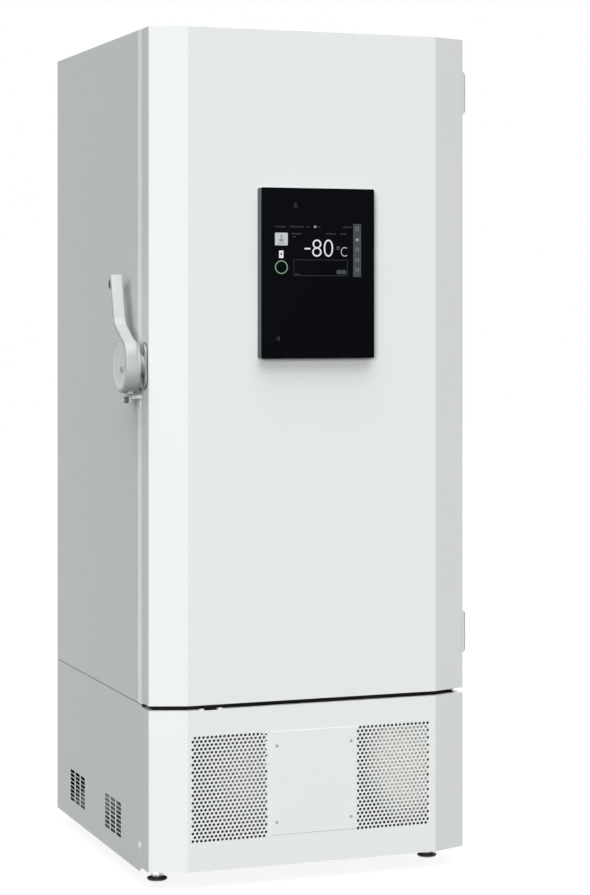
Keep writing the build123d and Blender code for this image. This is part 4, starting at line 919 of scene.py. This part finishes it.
ESCUTCHEON_STEP = 1.2  # the plate is this much smaller than its gasket, all round
ESCUTCHEON_SLACK = 0.05  # keeps the round ends from meeting
ESCUTCHEON_GASKET = 1.5
ESCUTCHEON_LAYERS = ((0, 0.4, ESCUTCHEON_GASKET), (ESCUTCHEON_GASKET, 1.6, 7))  # start, rim, end
COLLAR_PROFILE = ((7, 14), (7, 24.5), (9, 24.5), (10, 23), (10, 19.5), (8.5, 18.5), (8.5, 14), (7, 14))
SPINDLE_PROFILE = ((7, 0), (7, 14), (45, 14), (45, 0))

satin_silver = finish(
    "satin_silver",
    GRAIN,
    0.00002,
    shader_values={"Specular IOR Level": 0.2},
    Color=SATIN,
    Color_deep=(0.47, 0.490, 0.488, 1),
    Scale=500.0,
    Roughness=0.32,
    Spread=0.1,
)
bright_plate = finish(
    "bright_plate",
    GRAIN,
    0.00001,
    metallic=0.25,
    Color=(0.30, 0.305, 0.30, 1),
    Color_deep=(0.27, 0.275, 0.27, 1),
    Scale=300.0,
    Roughness=0.4,
    Spread=0.1,
)
lock_metal = finish(
    "lock_metal",
    GRAIN,
    0.00001,
    metallic=0.2,
    Color=(0.30, 0.31, 0.31, 1),
    Color_deep=(0.26, 0.27, 0.27, 1),
    Scale=300.0,
    Roughness=0.5,
)
cap_plastic = finish(
    "cap_plastic",
    GRAIN,
    0.00002,
    Color=(0.66, 0.705, 0.705, 1),
    Color_deep=(0.64, 0.685, 0.685, 1),
    Scale=650.0,
    Roughness=0.34,
)


def eased_copy(name, width, segments=3, sharp=50):
    """A merged copy of a frame piece whose outer corners are rounded, in millimetres."""
    shape = bmesh.new()
    shape.from_mesh(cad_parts[name].data)
    bmesh.ops.remove_doubles(shape, verts=shape.verts, dist=1e-5)
    bmesh.ops.dissolve_limit(shape, angle_limit=math.radians(1), verts=shape.verts, edges=shape.edges)
    corners = [
        edge
        for edge in shape.edges
        if edge.is_manifold and edge.is_convex and edge.calc_face_angle() > math.radians(sharp)
    ]
    bevel(shape, corners, width * MM, segments)
    return shape


def add_section(shape, centre, across, along, corner):
    """A flat rectangle with rounded corners whose sides are the vectors across and along; its face."""
    before = set(shape.faces)
    heading = across.cross(along).normalized()
    place = Matrix.Translation(centre) @ Matrix((across, along, heading)).transposed().to_4x4()
    made = bmesh.ops.create_grid(shape, x_segments=1, y_segments=1, size=0.5, matrix=place)
    if corner:
        bmesh.ops.bevel(
            shape, geom=made["verts"], offset=corner, segments=4, profile=0.5, affect="VERTICES", material=-1
        )
    return next(face for face in shape.faces if face not in before)


def turned_on(shape, face, centre, axis, angle, steps):
    """Sweeps a face round an axis and gives the face at its far end."""
    made = bmesh.ops.spin(
        shape,
        geom=[face, *face.edges, *face.verts],
        cent=centre,
        axis=axis,
        angle=angle,
        steps=steps,
    )
    return next(item for item in made["geom_last"] if isinstance(item, bmesh.types.BMFace))


def drawn_on(shape, face, path):
    """Extrudes a face along a vector and gives the face at its far end."""
    made = bmesh.ops.extrude_face_region(shape, geom=[face])
    moved = [item for item in made["geom"] if isinstance(item, bmesh.types.BMVert)]
    bmesh.ops.translate(shape, vec=path, verts=moved)
    return next(item for item in made["geom"] if isinstance(item, bmesh.types.BMFace))


def add_band(shape, points, bends):
    """The lever's flat band: straight legs between the points, joined by bends of the given radii."""
    legs = [after - before for before, after in zip(points, points[1:])]
    ways = [leg.normalized() for leg in legs]
    turns = [first.angle(second) for first, second in zip(ways, ways[1:])]
    trims = [0, *(radius * math.tan(turn / 2) for radius, turn in zip(bends, turns)), 0]
    across = Vector((BAND_WIDTH * MM, 0, 0))
    through = ways[0].cross(across).normalized() * BAND_THICKNESS * MM
    face = add_section(shape, points[0], across, through, BAND_CORNER * MM)
    for index, (leg, way) in enumerate(zip(legs, ways)):
        face = drawn_on(shape, face, way * (leg.length - trims[index] - trims[index + 1]))
        if index < len(bends):
            axis = way.cross(ways[index + 1]).normalized()
            centre = face.calc_center_median() + axis.cross(way) * bends[index]
            face = turned_on(shape, face, centre, axis, turns[index], BEND_STEPS)
    bevel(shape, face.edges, BAND_TIP * MM, 3)


def lever():
    cap_low, cap_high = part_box("lever_cap")
    hub = (cap_low + cap_high) / 2
    side = cap_low.x + LATCH_OUTER * MM
    shape = bmesh.new()
    add_turned(shape, DRUM_PROFILE, (side, hub.y, hub.z), (-1, 0, 0), 96)
    band_x = cap_low.x + BAND_WIDTH / 2 * MM
    points = [Vector((band_x, hub.y + back * MM, hub.z + rise * MM)) for back, rise in BAND_ROUTE]
    add_band(shape, points, [radius * MM for radius in BAND_BENDS])
    near, far = CLAW_DEPTH
    inner, outer = CLAW_RADII
    first, last = (math.radians(angle) for angle in CLAW_ANGLES)
    start = Vector((0, math.cos(first), math.sin(first)))
    middle = Vector((side - (near + far) / 2 * MM, hub.y, hub.z)) + start * (inner + outer) / 2 * MM
    deep = Vector(((far - near) * MM, 0, 0))
    face = add_section(shape, middle, deep, start * (outer - inner) * MM, CLAW_CORNER * MM)
    turned_on(shape, face, (side, hub.y, hub.z), (1, 0, 0), last - first, CLAW_STEPS)
    tidy(shape)
    add_piece("lever_casting", shape, "latch", satin_silver, "satin_metal", "latch_lever")


def dished_cap():
    low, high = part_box("lever_cap")
    shape = bmesh.new()
    add_turned(shape, CAP_PROFILE, (high.x, (low.y + high.y) / 2, (low.z + high.z) / 2), (-1, 0, 0), 96)
    add_piece("hub_cap", shape, "latch", cap_plastic, "white_plastic", "lever_cap")


def escutcheon():
    """The plate lies on the side of the door, so its layers are measured outwards from there."""
    low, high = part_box("handle_escutcheon")
    centre = ((low.y + high.y) / 2, (low.z + high.z) / 2)
    side = high.x
    pieces = []
    for start, rim, end in ESCUTCHEON_LAYERS:
        layer = bmesh.new()
        inset = ESCUTCHEON_STEP if start else 0
        half_y, half_z = (half - inset for half in ESCUTCHEON_HALF)
        add_block(
            layer,
            (side - end * MM, centre[0] - half_y * MM, centre[1] - half_z * MM),
            (side - start * MM, centre[0] + half_y * MM, centre[1] + half_z * MM),
            (half_y - ESCUTCHEON_SLACK) * MM,
            axis="X",
            rim=rim * MM,
            segments=16,
        )
        pieces.append(layer)
    gasket, plate = pieces
    add_turned(plate, SPINDLE_PROFILE, (side, *centre), (-1, 0, 0), 48)
    collar = bmesh.new()
    add_turned(collar, COLLAR_PROFILE, (side, *centre), (-1, 0, 0), 64)
    gasket_piece = add_piece("escutcheon_gasket", gasket, "outer_door", rubber, "dark_rubber")
    collar_piece = add_piece("spindle_collar", collar, "outer_door", rubber, "dark_rubber")
    add_piece("escutcheon_plate", plate, "outer_door", bright_plate, "satin_metal", "handle_escutcheon")
    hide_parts("handle_escutcheon")
    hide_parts("handle_escutcheon")


lever()
dished_cap()
lock = eased_copy("lock_barrel", LOCK_EASE)
add_piece("key_lock", lock, "lock", lock_metal, "satin_metal", "lock_barrel")
bumper = eased_copy("lever_bumper", BUMPER_EASE)
add_piece("bumper", bumper, "latch", rubber, "dark_rubber", "lever_bumper")
escutcheon()
dress(tyre_rubber, "strike_roller")
dress(front_paint, "strike_bracket")


# Display. A dark grey plastic housing that stands off the door, a bevelled black glass front, and the
# lit signs of its screen: a temperature reading, a status ring and generic icons.
GLASS_SET_BACK = 0.15
GLASS_CORNER = 4
GLASS_RIM = 0.6
PRINT_DEPTH = 0.05  # how far the lit signs stand proud of the glass
MARK_DEPTH = 0.1  # the same for a sign on another
STROKE_OFFSET = -0.018  # thins the strokes of the built-in font
COLUMN_ICON = 3.5
COLUMN_ICONS = (1530, 1481.6, 1456.5, 1434)
display_low, display_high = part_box("display_glass")
SCREEN_X = (display_low.x + display_high.x) / 2
SCREEN_FACE = display_low.y + GLASS_SET_BACK * MM

black_glass = finish(
    "black_glass",
    GRAIN,
    0.0,
    shader_values={"Specular IOR Level": 0.02},
    Color=(0.0018, 0.0024, 0.0036, 1),
    Color_deep=(0.0022, 0.0028, 0.0042, 1),
    Scale=20.0,
    Roughness=0.12,
    Spread=0.04,
)
housing_plastic = finish(
    "housing_plastic",
    GRAIN,
    0.00003,
    Color=(0.052, 0.058, 0.061, 1),
    Color_deep=(0.048, 0.054, 0.057, 1),
    Scale=650.0,
    Roughness=0.45,
)
dress(housing_plastic, "display_housing")
glass = bmesh.new()
add_block(
    glass,
    (display_low.x, SCREEN_FACE, display_low.z),
    display_high,
    GLASS_CORNER * MM,
    rim=GLASS_RIM * MM,
)
add_piece("display_panel", glass, "outer_door", black_glass, "black_glass", "display_glass")


def lit(name, color):
    """A material for the parts of the screen that glow."""
    made = bpy.data.materials.new(name)
    made.use_nodes = True
    shader = made.node_tree.nodes["Principled BSDF"]
    shader.inputs["Base Color"].default_value = (0, 0, 0, 1)
    shader.inputs["Specular IOR Level"].default_value = 0.0
    shader.inputs["Emission Color"].default_value = color
    shader.inputs["Emission Strength"].default_value = 1.0
    return made


lit_white = lit("lit_white", (0.80, 0.82, 0.84, 1))
lit_key = lit("lit_key", (0.56, 0.575, 0.59, 1))
lit_pale = lit("lit_pale", (0.30, 0.31, 0.32, 1))
lit_grey = lit("lit_grey", (0.066, 0.074, 0.081, 1))
lit_faint = lit("lit_faint", (0.045, 0.048, 0.055, 1))
lit_dim = lit("lit_dim", (0.028, 0.030, 0.033, 1))
lit_green = lit("lit_green", (0.22, 0.38, 0.22, 1))


def screen_part(name, material, *shapes):
    """Flat parts of the screen as one piece; each shape takes the bmesh and adds to it."""
    shape = bmesh.new()
    for add in shapes:
        add(shape)
    add_piece(name, shape, "outer_door", material, "black_glass")


def panel(x_range, z_range, corner=0.6, depth=PRINT_DEPTH):
    """A flat rounded rectangle on the glass, in millimetres from the middle line and the floor."""
    low = (SCREEN_X + x_range[0] * MM, SCREEN_FACE - depth * MM, z_range[0] * MM)
    high = (SCREEN_X + x_range[1] * MM, SCREEN_FACE, z_range[1] * MM)
    return lambda shape: add_block(shape, low, high, corner * MM, segments=3)


def outline(x_range, z_range, width, depth=PRINT_DEPTH):
    """A thin rectangular line."""
    left, right = x_range
    low, high = z_range
    return [
        panel((left, right), (low, low + width), 0.2, depth),
        panel((left, right), (high - width, high), 0.2, depth),
        panel((left, left + width), (low, high), 0.2, depth),
        panel((right - width, right), (low, high), 0.2, depth),
    ]


def flat_ring(centre, radius, width):
    """A ring printed on the glass."""
    origin = (SCREEN_X + centre[0] * MM, SCREEN_FACE, centre[1] * MM)
    inner = radius - width
    profile = ((0, inner), (0, radius), (PRINT_DEPTH, radius), (PRINT_DEPTH, inner), (0, inner))
    return lambda shape: add_turned(shape, profile, origin, (0, -1, 0), 64)


def reading(name, text, x_range, z_range, material):
    """Characters of the built-in font, stretched to fill a box on the glass."""
    curve = bpy.data.curves.new(name, "FONT")
    curve.body = text
    curve.extrude = 0.5
    curve.offset = STROKE_OFFSET
    holder = bpy.data.objects.new(name, curve)
    bpy.context.scene.collection.objects.link(holder)
    bpy.context.view_layer.update()
    mesh = bpy.data.meshes.new_from_object(holder.evaluated_get(bpy.context.evaluated_depsgraph_get()))
    bpy.data.objects.remove(holder)
    points = [vert.co for vert in mesh.vertices]
    low = Vector([min(point[n] for point in points) for n in range(3)])
    high = Vector([max(point[n] for point in points) for n in range(3)])
    scale_x = (x_range[1] - x_range[0]) * MM / (high.x - low.x)
    scale_z = (z_range[1] - z_range[0]) * MM / (high.y - low.y)
    for vert in mesh.vertices:
        depth = PRINT_DEPTH * MM * (vert.co.z - low.z) / (high.z - low.z)
        vert.co = (
            SCREEN_X + x_range[0] * MM + (vert.co.x - low.x) * scale_x,
            SCREEN_FACE - depth,
            z_range[0] * MM + (vert.co.y - low.y) * scale_z,
        )
    shape = bmesh.new()
    shape.from_mesh(mesh)
    bpy.data.meshes.remove(mesh)
    tidy(shape)
    add_piece(name, shape, "outer_door", material, "black_glass")


def small_print(x_range, height, size=3.4, step=2.7, gap=0.8):
    """A row of little bars, which stands in for a line of small print."""
    left, right = x_range
    count = max(1, round((right - left) / step))
    width = (right - left) / count
    low, high = height - size / 2, height + size / 2
    return [panel((left + n * width, left + (n + 1) * width - gap), (low, high), 0.2) for n in range(count)]


def joined(function, *calls):
    """The shapes of several calls of a function in one list."""
    return [shape for call in calls for shape in function(*call)]


screen_part("screen_key", lit_key, panel((-107.5, -76), (1489.5, 1519), 2))
screen_part(
    "screen_key_mark",
    lit_pale,
    panel((-94.6, -88.6), (1507.5, 1513.5), 2.9, MARK_DEPTH),
    panel((-97.4, -85.8), (1498, 1506), 3.5, MARK_DEPTH),
    panel((-100, -83.5), (1492.6, 1494.6), 0.5, MARK_DEPTH),
)
screen_part("screen_icon", lit_white, panel((-97.5, -86.7), (1460, 1477.6), 1.2))
screen_part("screen_icon_mark", lit_faint, panel((-93.8, -90.2), (1466.5, 1472.5), 0.8, MARK_DEPTH))
screen_part("screen_ring", lit_green, flat_ring((-91.7, 1438.8), 15.8, 2.4))
screen_part("screen_minus", lit_white, panel((-34.5, -19.7), (1480.8, 1484.2), 0.4))
reading("screen_digits", "80", (-15.2, 36.7), (1464, 1504), lit_white)
reading("screen_unit", "°C", (46.4, 72), (1465, 1488), lit_key)
screen_part("screen_field", lit_faint, *outline((-61.5, 73.3), (1419, 1456.8), 1.1))
screen_part("screen_field_key", lit_grey, panel((45.6, 69.4), (1423.4, 1433), 0.8))
screen_part("screen_column", lit_grey, panel((87.2, 107.2), (1417, 1541.5), 0.8))
screen_part(
    "screen_column_marks",
    lit_pale,
    panel((93.4, 101.4), (1501, 1508), 3, MARK_DEPTH),
    *joined(
        outline,
        *(((93.4, 101.4), (z - COLUMN_ICON, z + COLUMN_ICON), 0.9, MARK_DEPTH) for z in COLUMN_ICONS),
    ),
)
screen_part(
    "screen_print",
    lit_faint,
    *joined(
        small_print,
        ((-107, -80), 1533),
        ((-70.8, -35.5), 1533.5),
        ((-30.7, -21.8), 1533.6),
        ((-2, 6), 1533.6),
        ((61.8, 83.3), 1533.4),
        ((-66.3, -41), 1517),
        ((-64, -56), 1509.5),
        ((20.2, 44.3), 1517.5),
        ((54.3, 70.3), 1517.5),
        ((-57.8, -46.6), 1422.8),
    ),
)
screen_part("screen_print_mark", lit_pale, panel((-11.2, -5.4), (1531, 1536.5), 0.6))
screen_part(
    "screen_bell",
    lit_dim,
    panel((-60.5, -53), (1580.5, 1590), 3.5),
    panel((-63.5, -50), (1578, 1580.5), 0.8),
)
screen_part(
    "screen_speaker",
    lit_dim,
    panel((-105, -101), (1270, 1275), 0.5),
    panel((-100.5, -95.5), (1267, 1278), 0.5),
)
